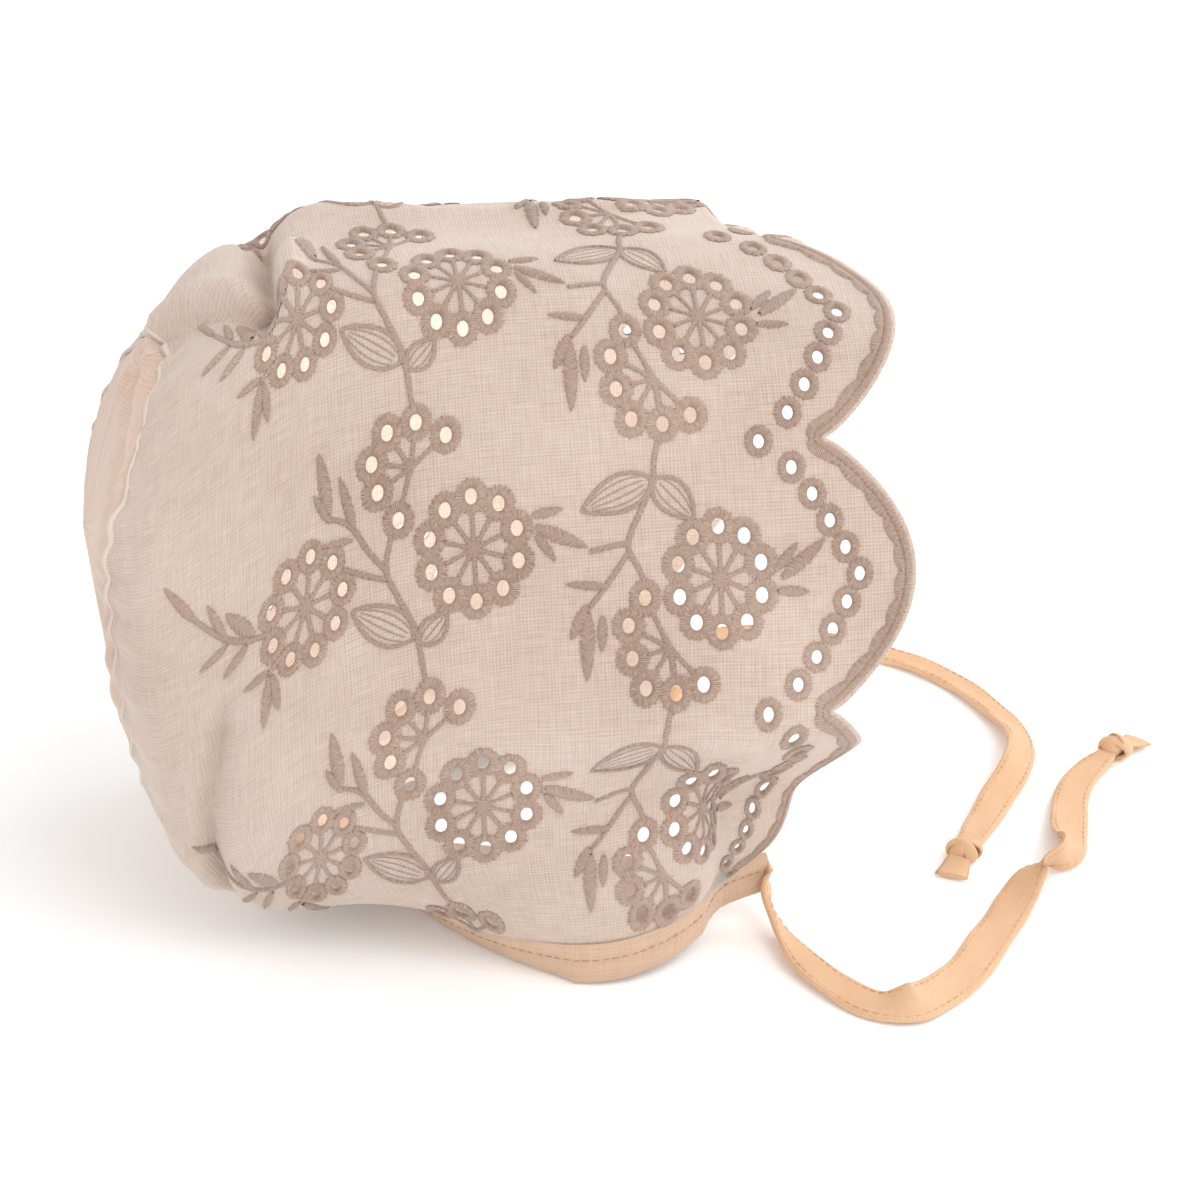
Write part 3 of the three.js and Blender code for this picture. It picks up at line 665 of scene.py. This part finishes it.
def embroidery():
    work = ThreadWork()
    for back, down, size, root in EYELETS:
        ring_stitch(work, back, down, size)
        if root:
            start = np.array(root)
            run = np.array([back, down]) - start
            end = start + run * (1 - 3.2 * size / np.linalg.norm(run))
            satin_line(work, [start, end], [STEM_WIDE * 1.3, STEM_WIDE * 0.8, STEM_WIDE])
    for start in pattern_starts():
        def placed(points):
            return [(b, d + start) for b, d in points]

        for stem in STEMS:
            points = placed(stem)
            if all(on_the_panel(b, d, 1.0) for b, d in points):
                satin_line(work, points, [STEM_WIDE, STEM_WIDE * 1.15, STEM_WIDE])
        for b0, d0, b1, d1, width in SATIN_LEAVES:
            points = placed([(b0, d0), (b1, d1)])
            if all(on_the_panel(b, d, 2.0) for b, d in points):
                satin_line(work, points, LEAF_WIDTHS * width, slant=0.5, step=0.5, rise=0.65, notch=0.09)
        for b0, d0, b1, d1, width, veins in OUTLINED_LEAVES:
            base, tip = placed([(b0, d0), (b1, d1)])
            if not (on_the_panel(*base, 2.0) and on_the_panel(*tip, 2.0)):
                continue
            for bow in (-1, 1):
                satin_line(work, leaf_outline(base, tip, width, bow), [0.9, 1.0, 0.9])
            for n in range(veins):
                bow = (n + 0.5) / veins * 2 - 1
                vein = leaf_outline(base, tip, width * 0.82, bow)[1:-1]
                satin_line(work, vein, [0.35, 0.45, 0.3], rise=0.22)
    return work.piece("embroidery")


def edge_cording():
    """Satin band along the scalloped front edge, in two rows, the inner one with round bumps."""
    work = ThreadWork()
    across = np.arange(-HALF_EDGE + 0.5, HALF_EDGE - 0.4, 0.45)
    bumps = np.abs(np.sin(np.pi * (across - SCALLOP_SHIFT) / EDGE_BUMP)) ** 0.7
    satin_strip(work, edge_offset(across, 1.7), np.full(len(across), 1.7))
    inner = edge_offset(across, 2.9)
    inner[:, 0] += bumps * 0.55
    satin_strip(work, inner, 1.0 + 1.5 * bumps)
    return work.piece("edge_cording")


def back_seam():
    """Narrow raised seam where the panel is sewn over the gathered back."""
    work = ThreadWork()
    across = np.arange(-HALF_EDGE + 1, HALF_EDGE - 0.9, 1.0)
    satin_strip(work, np.column_stack([seam_along(across) - 0.9, across]), np.full(len(across), 1.5))
    return work.piece("back_seam")


def edge_offset(across, inset):
    """Line that keeps its distance behind the scalloped edge."""
    dense = np.arange(-HALF_EDGE, HALF_EDGE + 0.01, 0.5)
    rim = np.column_stack([edge_along(dense), dense])
    line = []
    for a in across:
        near = rim[np.abs(rim[:, 1] - a) <= inset + 0.01]
        drop = np.sqrt(np.maximum(inset**2 - (near[:, 1] - a) ** 2, 0))
        line.append((np.max(near[:, 0] + drop), a))
    return np.array(line)


def satin_strip(work, line, width):
    profile = [(-1, -0.1), (-0.6, 0.75), (0, 1), (0.6, 0.75), (1, -0.1)]
    lay_thread(work, line, running_length(line), width / 2, profile, 0.55)


# Binding

def neck_line(count):
    """Hem of the cloth from the right front corner round the back to the left front corner."""
    along = np.linspace(-EDGE_MARGIN, CLOTH_DEPTH - 0.35, count)
    right = on_cloth(along, np.full(count, float(HALF_EDGE)))
    left = on_cloth(along, np.full(count, -float(HALF_EDGE)))[::-1]
    hem = np.vstack([right, left])

    def beyond(end, nxt):
        return end + (end - nxt) / np.linalg.norm(end - nxt) * BINDING_END

    return np.vstack([beyond(hem[0], hem[2]), hem, beyond(hem[-1], hem[-3])])


def neck_binding():
    """The folded strip, with the line of its topstitches, the way it faces, its length and its two ends."""
    line, run = centripetal(neck_line(80)[::4], 14)
    count = int(run[-1] / 1.2)
    at = np.linspace(0, run[-1], count)
    path = places_at(line, run, at)
    ahead = unit(np.gradient(path, axis=0) * [1, 1, 0])
    out = np.column_stack([ahead[:, 1], -ahead[:, 0], np.zeros(count)])
    out *= np.sign(np.einsum("ij,ij->i", out, path * [1, 1, 0]))[:, None]
    wide = BINDING_WIDTH + HEM_OVERLAP
    top = path[:, 2] + HEM_COVER
    fall = np.minimum(top, wide * math.cos(math.radians(BINDING_LEAN)))
    inward = np.sqrt(wide**2 - fall**2)

    def on_strip(down, side):
        spot = path.copy()
        spot[:, 2] = top - fall * down
        return spot + out * (side - inward * down)[:, None]

    profile = [(0.0, 0.35), (0.06, 0.8), (0.3, 1.0), (0.42, 0.72),
               (0.55, 1.0), (0.8, 1.05), (0.94, 0.8), (1.0, 0.3)]
    loop = [(down, side) for down, side in profile] + [(down, -side * 0.9) for down, side in profile[::-1]]
    pucker = 0.12 * np.sin(at * 2.1) + 0.1 * np.sin(at * 0.9 + 1)
    places, uv = [], []
    for n, (down, side) in enumerate(loop):
        swell = side * BINDING_THICK / 2 + pucker * max(side, 0)
        spot = on_strip(down, swell)
        spot[:, 2] = np.maximum(spot[:, 2], 0.0)
        places.append(spot)
        uv.append(np.column_stack([at / 100, np.full(count, n * 0.012)]))
    piece = new_piece("neck_strip", np.vstack(places), tube_faces(len(loop), count), np.vstack(uv))
    finish_solid(piece, 50)
    row = on_strip(0.38, BINDING_THICK / 2 * 0.86)
    row[:, 2] = np.maximum(row[:, 2], 0.3)
    middle = on_strip(0.5, 0)
    ends = [(middle[3], middle[0]), (middle[-4], middle[-1])]
    if ends[0][1][1] > 0:
        ends.reverse()
    return piece, row, out, run[-1], ends


def stitch_row(name, lines, facings, pitch, length, thick):
    """Row of short topstitches, each a small rounded bar half sunk in the cloth."""
    hoops = [(0.0, 0.35), (0.2, 1.0), (0.8, 1.0), (1.0, 0.35)]
    sides = 6
    places, faces = [], []
    for line, out in zip(lines, facings):
        run = running_length(line)
        for middle in np.arange(pitch, run[-1] - pitch, pitch):
            start = places_at(line, run, middle - length / 2)[0]
            end = places_at(line, run, middle + length / 2)[0]
            face = unit(places_at(out, run, middle)[0])
            ahead = unit(end - start)
            beside = np.cross(ahead, face)
            faces.extend(hoop_faces(len(places), len(hoops), sides))
            for share, size in hoops:
                spot = start + (end - start) * share
                for turn in range(sides):
                    angle = 2 * math.pi * turn / sides
                    rim = beside * math.cos(angle) + face * math.sin(angle)
                    places.append(spot + rim * thick / 2 * size)
    piece = new_piece(name, np.array(places), faces)
    finish_solid(piece)
    return piece


# Ties: forward, left and up in millimetres, roll in degrees, width share

TIE_RIGHT_ROUTE = [
    (58.0, -46.5, 6.0, 70, 0.55), (58.6, -50.0, 4.4, 60, 0.55), (60.0, -55.5, 2.2, 35, 0.7),
    (62.6, -65.5, 1.2, 12, 0.95), (67.6, -76.5, 1.0, 4, 1.0), (73.3, -84.0, 1.5, -8, 1.0),
    (80.0, -87.0, 3.2, -35, 0.95), (86.0, -83.0, 2.4, -22, 0.95), (94.0, -75.5, 1.4, -6, 1.0),
    (103.6, -62.5, 1.2, 0, 1.0), (113.6, -48.5, 1.8, 10, 1.0), (120.5, -38.8, 3.6, 30, 1.0),
    (126.0, -37.5, 5.6, 65, 0.9), (131.0, -31.0, 3.8, 140, 0.9), (134.6, -19.5, 2.0, 168, 0.95),
    (141.0, -2.5, 1.4, 178, 0.85), (149.5, 8.5, 1.6, 180, 0.75), (153.5, 11.5, 2.2, 180, 0.5),
]
TIE_LEFT_ROUTE = [
    (58.0, 46.5, 6.0, -70, 0.55), (58.6, 50.0, 4.4, -60, 0.55), (59.2, 57.0, 2.4, -40, 0.55),
    (60.5, 66.5, 1.6, -25, 0.5), (66.5, 79.5, 1.6, -20, 0.5), (76.0, 87.0, 1.6, -25, 0.5),
    (88.0, 87.2, 1.6, -25, 0.5), (97.0, 83.8, 1.6, -22, 0.52), (107.0, 78.0, 1.6, -15, 0.58),
    (115.5, 71.5, 1.4, -8, 0.68), (122.5, 64.2, 1.4, 0, 0.7), (128.3, 55.5, 1.2, 0, 0.72),
    (132.5, 44.0, 1.4, 6, 0.72), (135.0, 32.0, 1.8, 12, 0.75), (135.0, 20.5, 3.0, 30, 0.8),
    (130.5, 8.5, 3.0, 25, 0.8), (122.5, -3.2, 1.6, 8, 0.85), (116.0, -13.5, 1.4, 0, 0.8),
    (109.8, -23.5, 2.0, 0, 0.6),
]


def tie(name, route, joined_to):
    """Flat tape that runs out of the end of the binding along its route."""
    steps = 14
    turn = math.copysign(85, route[0][3])
    inside, end = joined_to
    table = np.array([(*inside, turn, 0.8), (*end, turn, 0.7), *route], float)
    line, run = centripetal(table[:, :3], steps)
    at_rows = run[np.clip(np.arange(len(table)) * steps, 0, len(run) - 1)]
    at_rows[-1] = run[-1]
    count = int(run[-1] / 1.1)
    at = np.linspace(0, run[-1], count)
    path = places_at(line, run, at)
    roll = np.radians(np.interp(at, at_rows, table[:, 3]))
    half = np.interp(at, at_rows, table[:, 4]) * TIE_WIDTH / 2
    ahead = unit(np.gradient(path, axis=0))
    level = unit(np.column_stack([ahead[:, 1], -ahead[:, 0], np.zeros(count)]))
    upright = unit(np.cross(level, ahead))
    beside = level * np.cos(roll)[:, None] + upright * np.sin(roll)[:, None]
    face = unit(np.cross(beside, ahead))
    thick = TIE_THICK / 2 * (1 + 0.8 * (1 - half * 2 / TIE_WIDTH))
    upper = [(-0.93, 0.8), (-0.8, 1), (-0.45, 0.85), (0, 0.8), (0.45, 0.85), (0.8, 1), (0.93, 0.8)]
    section = [(-1, 0), *upper, (1, 0), *[(side, -up) for side, up in upper[::-1]]]
    sag = 0.35 * np.sin(at * 0.35)
    places, uv = [], []
    for side, up in section:
        curl = sag * (side**2 - 0.3)
        places.append(path + beside * (half * side)[:, None] + face * (thick * up + curl)[:, None])
        uv.append(np.column_stack([at / 100, np.full(count, side * TIE_WIDTH / 200)]))
    stack = np.stack(places)
    shift = np.maximum(TABLE_GAP - stack[:, :, 2].min(axis=0), 0)
    eased = np.maximum(np.convolve(np.pad(shift, 2, mode="edge"), np.ones(5) / 5, mode="valid"), shift)
    stack[:, :, 2] += eased[None, :]
    path[:, 2] += eased
    piece = new_piece(name, stack.reshape(-1, 3), tube_faces(len(section), count), np.vstack(uv))
    finish_solid(piece, 60)
    return {"piece": piece, "path": path, "run": run[-1],
            "beside": beside, "face": face, "half": half, "thick": thick}


def tie_stitches(name, made):
    lines, facings = [], []
    for side in (-0.72, 0.72):
        for way in (-1, 1):
            offset = made["beside"] * (made["half"] * side)[:, None]
            lines.append(made["path"] + offset + made["face"] * (way * made["thick"] * 0.95)[:, None])
            facings.append(made["face"] * way)
    return stitch_row(name, lines, facings, pitch=2.3, length=1.6, thick=0.3)


def knot(name, made):
    """Simple overhand knot with a short flared tail."""
    size = KNOT_SIZE
    end = made["path"][-1]
    ahead = unit((made["path"][-1] - made["path"][-6]) * [1, 1, 0])
    beside = np.array([ahead[1], -ahead[0], 0])
    up = np.array([0, 0, 1.0])
    middle = end + ahead * 4.2 * size
    middle[2] = 3.0 * size
    places, faces = [], []

    def band(line, closed, widths, thick, laid=False):
        count = len(line)
        if closed:
            run = np.roll(line, -1, axis=0) - np.roll(line, 1, axis=0)
        else:
            run = np.gradient(line, axis=0)
        run = unit(run)
        away = np.tile(up, (count, 1)) if laid else unit(line - middle + ahead * 0.01)
        away = unit(away - run * np.einsum("ij,ij->i", away, run)[:, None])
        flat = np.cross(run, away)
        faces.extend(hoop_faces(len(places), count, KNOT_SIDES, closed))
        for k in range(count):
            for n in range(KNOT_SIDES):
                turn = 2 * math.pi * n / KNOT_SIDES
                spot = line[k] + flat[k] * math.cos(turn) * widths[k] / 2
                spot += away[k] * math.sin(turn) * thick / 2
                spot[2] = max(spot[2], 0.1)
                places.append(spot)

    turns = np.linspace(0, 2 * math.pi, 28, endpoint=False)[:, None]
    swing = np.cos(turns)
    climb = np.sin(turns)
    wraps = [
        (beside * swing * 3.9 + up * climb * 2.2 + ahead * (1.1 * swing - 0.6), 4.2, 1.3),
        (ahead * swing * 3.4 + up * climb * 1.9 + beside * 1.3 * np.sin(turns + 0.6), 4.6, 1.2),
        (beside * swing * 3.0 + up * climb * 2.3 + ahead * (1.9 - 1.2 * swing), 3.6, 1.2),
    ]
    for wrap, wide, thick in wraps:
        band(middle + wrap * size, True, [wide * size] * len(turns), thick * size)
    beyond = [middle + ahead * reach * size for reach in (4.5, 7.5, 11)]
    tail = np.array([end - ahead * 0.4, end + ahead * 3 * size, *beyond])
    tail[:, 2] = [end[2], 2.6, 2.2, 1.3, 0.9]
    smooth_tail, _ = centripetal(tail, 5)
    share = np.linspace(0, 1, len(smooth_tail))
    band(smooth_tail, False, 4.2 + 3.4 * share**1.5, 1.1, laid=True)
    piece = new_piece(name, np.array(places), faces)
    finish_solid(piece)
    return piece


# Finishes

def node(tree, kind, **values):
    made = tree.nodes.new(kind)
    for key, value in values.items():
        setattr(made, key, value)
    return made


def maths(group, operation, a, b=None):
    made = node(group, "ShaderNodeMath", operation=operation)
    for socket, value in zip(made.inputs, (a, b)):
        if isinstance(value, (int, float)):
            socket.default_value = value
        elif value is not None:
            group.links.new(value, socket)
    return made.outputs[0]


def stretched_noise(group, place, stretch, detail):
    mapping = node(group, "ShaderNodeMapping")
    mapping.inputs["Scale"].default_value = stretch
    noise = node(group, "ShaderNodeTexNoise")
    noise.inputs["Scale"].default_value = 1
    noise.inputs["Detail"].default_value = detail
    group.links.new(place, mapping.inputs["Vector"])
    group.links.new(mapping.outputs[0], noise.inputs["Vector"])
    return noise.outputs[0]


def texture_group(name, detail_name, detail):
    """Empty group from a place and a number of threads to a shade and a height."""
    group = bpy.data.node_groups.new(name, "ShaderNodeTree")
    group.interface.new_socket("Place", in_out="INPUT", socket_type="NodeSocketVector")
    count = group.interface.new_socket(detail_name, in_out="INPUT", socket_type="NodeSocketFloat")
    count.default_value = detail
    for result in ("Shade", "Height"):
        group.interface.new_socket(result, in_out="OUTPUT", socket_type="NodeSocketFloat")
    inlet = node(group, "NodeGroupInput")
    outlet = node(group, "NodeGroupOutput")
    split = node(group, "ShaderNodeSeparateXYZ")
    group.links.new(inlet.outputs["Place"], split.inputs[0])
    return group, inlet.outputs, outlet.inputs, split.outputs


def woven_group():
    """Plain weave: two sets of uneven threads. Gives a shade from 0 to 1, darker in the gaps between threads
    as painted shade, and a height.
    """
    group, given, results, place = texture_group("plain weave", "Threads", 220)

    def threads(axis):
        turns = maths(group, "MULTIPLY", given["Threads"], 2 * math.pi)
        return maths(group, "SINE", maths(group, "MULTIPLY", place[axis], turns))

    weave = maths(group, "ADD", threads(0), threads(1))
    level_slubs = stretched_noise(group, given["Place"], (14, 260, 1), 3)
    upright_slubs = stretched_noise(group, given["Place"], (260, 14, 1), 3)
    uneven = maths(group, "ADD", level_slubs, upright_slubs)
    height = maths(group, "ADD", maths(group, "MULTIPLY", weave, 0.35), uneven)
    group.links.new(maths(group, "MULTIPLY", height, 0.5), results["Height"])
    # The crowns of the threads are coloured lighter and the gaps between them darker: painted shade of the
    # weave.
    painted_weave_shade = maths(group, "MULTIPLY", weave, 0.06)
    group.links.new(maths(group, "ADD", maths(group, "MULTIPLY", uneven, 0.5), painted_weave_shade), results["Shade"])
    return group


def stitch_group():
    """Close satin stitches across a raised line. Gives a shade, lighter on the crest of each stitch as a
    painted highlight, and a height.
    """
    group, given, results, place = texture_group("satin stitch", "Stitches", 13)
    noise = stretched_noise(group, given["Place"], (40, 6, 1), 2)
    stitches = maths(group, "MULTIPLY", given["Stitches"], 2 * math.pi)
    turns = maths(group, "MULTIPLY", place[0], stitches)
    wave = maths(group, "SINE", maths(group, "ADD", turns, maths(group, "MULTIPLY", noise, 3)))
    height = maths(group, "ADD", maths(group, "MULTIPLY", wave, 0.5), 0.5)
    group.links.new(height, results["Height"])
    cloudy = maths(group, "MULTIPLY", noise, 0.78)
    # Each stitch is coloured lighter on its crest and darker in the groove beside it: painted highlight and
    # shade of the stitch relief, mixed with uneven thread colour.
    group.links.new(maths(group, "ADD", maths(group, "MULTIPLY", height, 0.22), cloudy), results["Shade"])
    return group


WEAVE = woven_group()
SATIN = stitch_group()


def srgb(*rgb):
    return tuple((c / 255 / 12.92 if c <= 10 else ((c / 255 + 0.055) / 1.055) ** 2.4) for c in rgb) + (1.0,)


def fabric(name, group, uv_name, dark, light, detail_name, detail, bump, roughness, sheen,
           patch=0.25, glow=0.0):
    """Cloth or thread with its own weave or stitch, its colour drifting a little over the piece."""
    material = bpy.data.materials.new(name)
    material.use_nodes = True
    tree = material.node_tree
    shader = tree.nodes["Principled BSDF"]
    place = node(tree, "ShaderNodeUVMap", uv_map=uv_name)
    weave = node(tree, "ShaderNodeGroup", node_tree=group)
    tree.links.new(place.outputs[0], weave.inputs["Place"])
    weave.inputs[detail_name].default_value = detail
    around = node(tree, "ShaderNodeTexCoord")
    drift = node(tree, "ShaderNodeTexNoise")
    drift.inputs["Scale"].default_value = 28
    drift.inputs["Detail"].default_value = 2
    tree.links.new(around.outputs["Object"], drift.inputs["Vector"])
    both = node(tree, "ShaderNodeMix", data_type="FLOAT")
    both.inputs["Factor"].default_value = patch
    tree.links.new(weave.outputs["Shade"], both.inputs[2])
    tree.links.new(drift.outputs[0], both.inputs[3])
    ramp = node(tree, "ShaderNodeValToRGB")
    ramp.color_ramp.elements[0].position = 0.3
    ramp.color_ramp.elements[1].position = 0.7
    ramp.color_ramp.elements[0].color = dark
    ramp.color_ramp.elements[1].color = light
    tree.links.new(both.outputs[0], ramp.inputs[0])
    tree.links.new(ramp.outputs[0], shader.inputs["Base Color"])
    relief = node(tree, "ShaderNodeBump")
    relief.inputs["Strength"].default_value = bump
    relief.inputs["Distance"].default_value = 0.0003
    tree.links.new(weave.outputs["Height"], relief.inputs["Height"])
    tree.links.new(relief.outputs[0], shader.inputs["Normal"])
    shader.inputs["Roughness"].default_value = roughness
    shader.inputs["Sheen Weight"].default_value = sheen
    shader.inputs["Sheen Roughness"].default_value = 0.5
    shader.inputs["Specular IOR Level"].default_value = 0.25
    shader.inputs["Subsurface Weight"].default_value = glow
    shader.inputs["Subsurface Radius"].default_value = (1, 0.8, 0.65)
    shader.inputs["Subsurface Scale"].default_value = 0.0012
    return material


COTTON = fabric("peach cotton", WEAVE, "cloth", srgb(182, 162, 146), srgb(216, 202, 191), "Threads", 140,
                0.5, 0.9, 0.2, 0.3, glow=0.6)
# The back cloth is coloured more orange and a little darker than the panel cotton: painted shade of its
# folds.
BACK_COTTON_PAINTED_SHADE = fabric("back cotton with painted shade", WEAVE, "cloth", srgb(188, 162, 144), srgb(218, 196, 180), "Threads", 140,
                      0.3, 0.9, 0.25, 0.4, glow=0.6)
# The seam strip is coloured lighter than the cloth around it: painted highlight on the seam ridge.
SEAM_CLOTH_PAINTED_HIGHLIGHT = fabric("seam cloth with painted highlight", WEAVE, "thread", srgb(206, 186, 170), srgb(230, 214, 200), "Threads", 14,
                    0.3, 0.9, 0.25, 0.4)
TAPE = fabric("peach binding", WEAVE, "cloth", srgb(196, 162, 134), srgb(216, 188, 164), "Threads", 200,
              0.35, 0.85, 0.2)
TIE_CLOTH = fabric("apricot tie", WEAVE, "cloth", srgb(208, 164, 124), srgb(226, 188, 152), "Threads", 200,
                   0.25, 0.75, 0.15, 0.4)
THREAD = fabric("taupe satin thread", SATIN, "thread", srgb(138, 108, 91), srgb(212, 185, 168),
                "Stitches", 27, 0.6, 0.55, 0.3, 0.3)


def plain_thread(name, colour):
    material = bpy.data.materials.new(name)
    material.use_nodes = True
    shader = material.node_tree.nodes["Principled BSDF"]
    noise = node(material.node_tree, "ShaderNodeTexNoise")
    noise.inputs["Scale"].default_value = 900
    around = node(material.node_tree, "ShaderNodeTexCoord")
    material.node_tree.links.new(around.outputs["Object"], noise.inputs["Vector"])
    ramp = node(material.node_tree, "ShaderNodeValToRGB")
    ramp.color_ramp.elements[0].color = tuple(c * 0.8 for c in colour[:3]) + (1,)
    ramp.color_ramp.elements[1].color = colour
    material.node_tree.links.new(noise.outputs[0], ramp.inputs[0])
    material.node_tree.links.new(ramp.outputs[0], shader.inputs["Base Color"])
    shader.inputs["Roughness"].default_value = 0.65
    return material


SEWING_THREAD = plain_thread("sewing thread", srgb(188, 146, 116))
TIE_THREAD = plain_thread("tie thread", srgb(214, 166, 126))


def dress(piece, material, replaces=()):
    piece.data.materials.clear()
    piece.data.materials.append(material)
    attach(piece, "root")
    if replaces:
        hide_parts(*replaces)


# The pieces, their finishes and slots

panel = embroidered_cloth()
dress(panel, COTTON, ["embroidered_panel"])
stitching = embroidery()
dress(stitching, THREAD)
edging = edge_cording()
dress(edging, THREAD)
back = plain_back()
dress(back, BACK_COTTON_PAINTED_SHADE, ["back_panel"])
seam = back_seam()
dress(seam, SEAM_CLOTH_PAINTED_HIGHLIGHT)
binding, stitch_line, binding_out, binding_run, binding_ends = neck_binding()
dress(binding, TAPE, ["neck_binding"])
binding_stitches = stitch_row("binding_stitches", [stitch_line], [binding_out],
                              pitch=2.1, length=1.5, thick=0.34)
dress(binding_stitches, SEWING_THREAD)

right_tie = tie("tie_right_tape", TIE_RIGHT_ROUTE, binding_ends[0])
left_tie = tie("tie_left_tape", TIE_LEFT_ROUTE, binding_ends[1])
for made, side in ((right_tie, "right"), (left_tie, "left")):
    dress(made["piece"], TIE_CLOTH, [f"tie_{side}"])
    seams = tie_stitches(f"tie_{side}_stitches", made)
    dress(seams, TIE_THREAD)
    lump = knot(f"tie_{side}_knot", made)
    dress(lump, TIE_CLOTH, [f"tie_{side}_end"])

# Table, light and camera

bpy.ops.mesh.primitive_plane_add(size=6, location=(0, 0, 0))
table = bpy.context.active_object
table.name = "studio_floor"
table.location.z = -0.0002
pale = bpy.data.materials.new("pale floor")
pale.use_nodes = True
floor_looks = pale.node_tree.nodes["Principled BSDF"].inputs
floor_looks["Base Color"].default_value = (0.97, 0.97, 0.97, 1)
floor_looks["Roughness"].default_value = 0.9
floor_looks["Emission Color"].default_value = (1, 1, 1, 1)
floor_looks["Emission Strength"].default_value = 0.1
table.data.materials.append(pale)

world = bpy.data.worlds.new("studio air")
bpy.context.scene.world = world
world.use_nodes = True
world.node_tree.nodes["Background"].inputs["Color"].default_value = (1, 1, 1, 1)
world.node_tree.nodes["Background"].inputs["Strength"].default_value = 0.85


def soft_light(name, place, size, power):
    bpy.ops.object.light_add(type="AREA", location=place)
    lamp = bpy.context.active_object
    lamp.name = name
    lamp.data.size = size
    lamp.data.energy = power
    lamp.rotation_euler = (Vector((0, 0, 0.07)) - Vector(place)).to_track_quat("-Z", "Y").to_euler()
    return lamp


soft_light("key_light", (0.5, -0.7, 1.1), 0.9, 6.5)
soft_light("fill_light", (-0.9, -0.7, 0.6), 1.0, 1.5)
soft_light("hollow_light", (0.6, 0.22, 0.3), 0.4, 2)
inside = soft_light("inside_light", (0, -0.02, 0.075), 0.05, 0.1)
inside.rotation_euler = (math.radians(90), 0, 0)
inside.visible_camera = False

AZIMUTH = math.radians(-9)
ELEVATION = math.radians(26)
CAMERA_DISTANCE = 0.78
aim = Vector((0.0045, 0, 0.064))
level = math.cos(ELEVATION)
away = Vector((math.sin(AZIMUTH) * level, -math.cos(AZIMUTH) * level, math.sin(ELEVATION)))
bpy.ops.object.camera_add(location=aim + away * CAMERA_DISTANCE)
camera = bpy.context.active_object
camera.rotation_euler = (-away).to_track_quat("-Z", "Y").to_euler()
camera.data.sensor_width = 36
camera.data.lens = 106.9
camera.data.shift_x = 0.0925
camera.data.shift_y = -0.0142
bpy.context.scene.camera = camera
bpy.context.scene.view_settings.view_transform = "Standard"
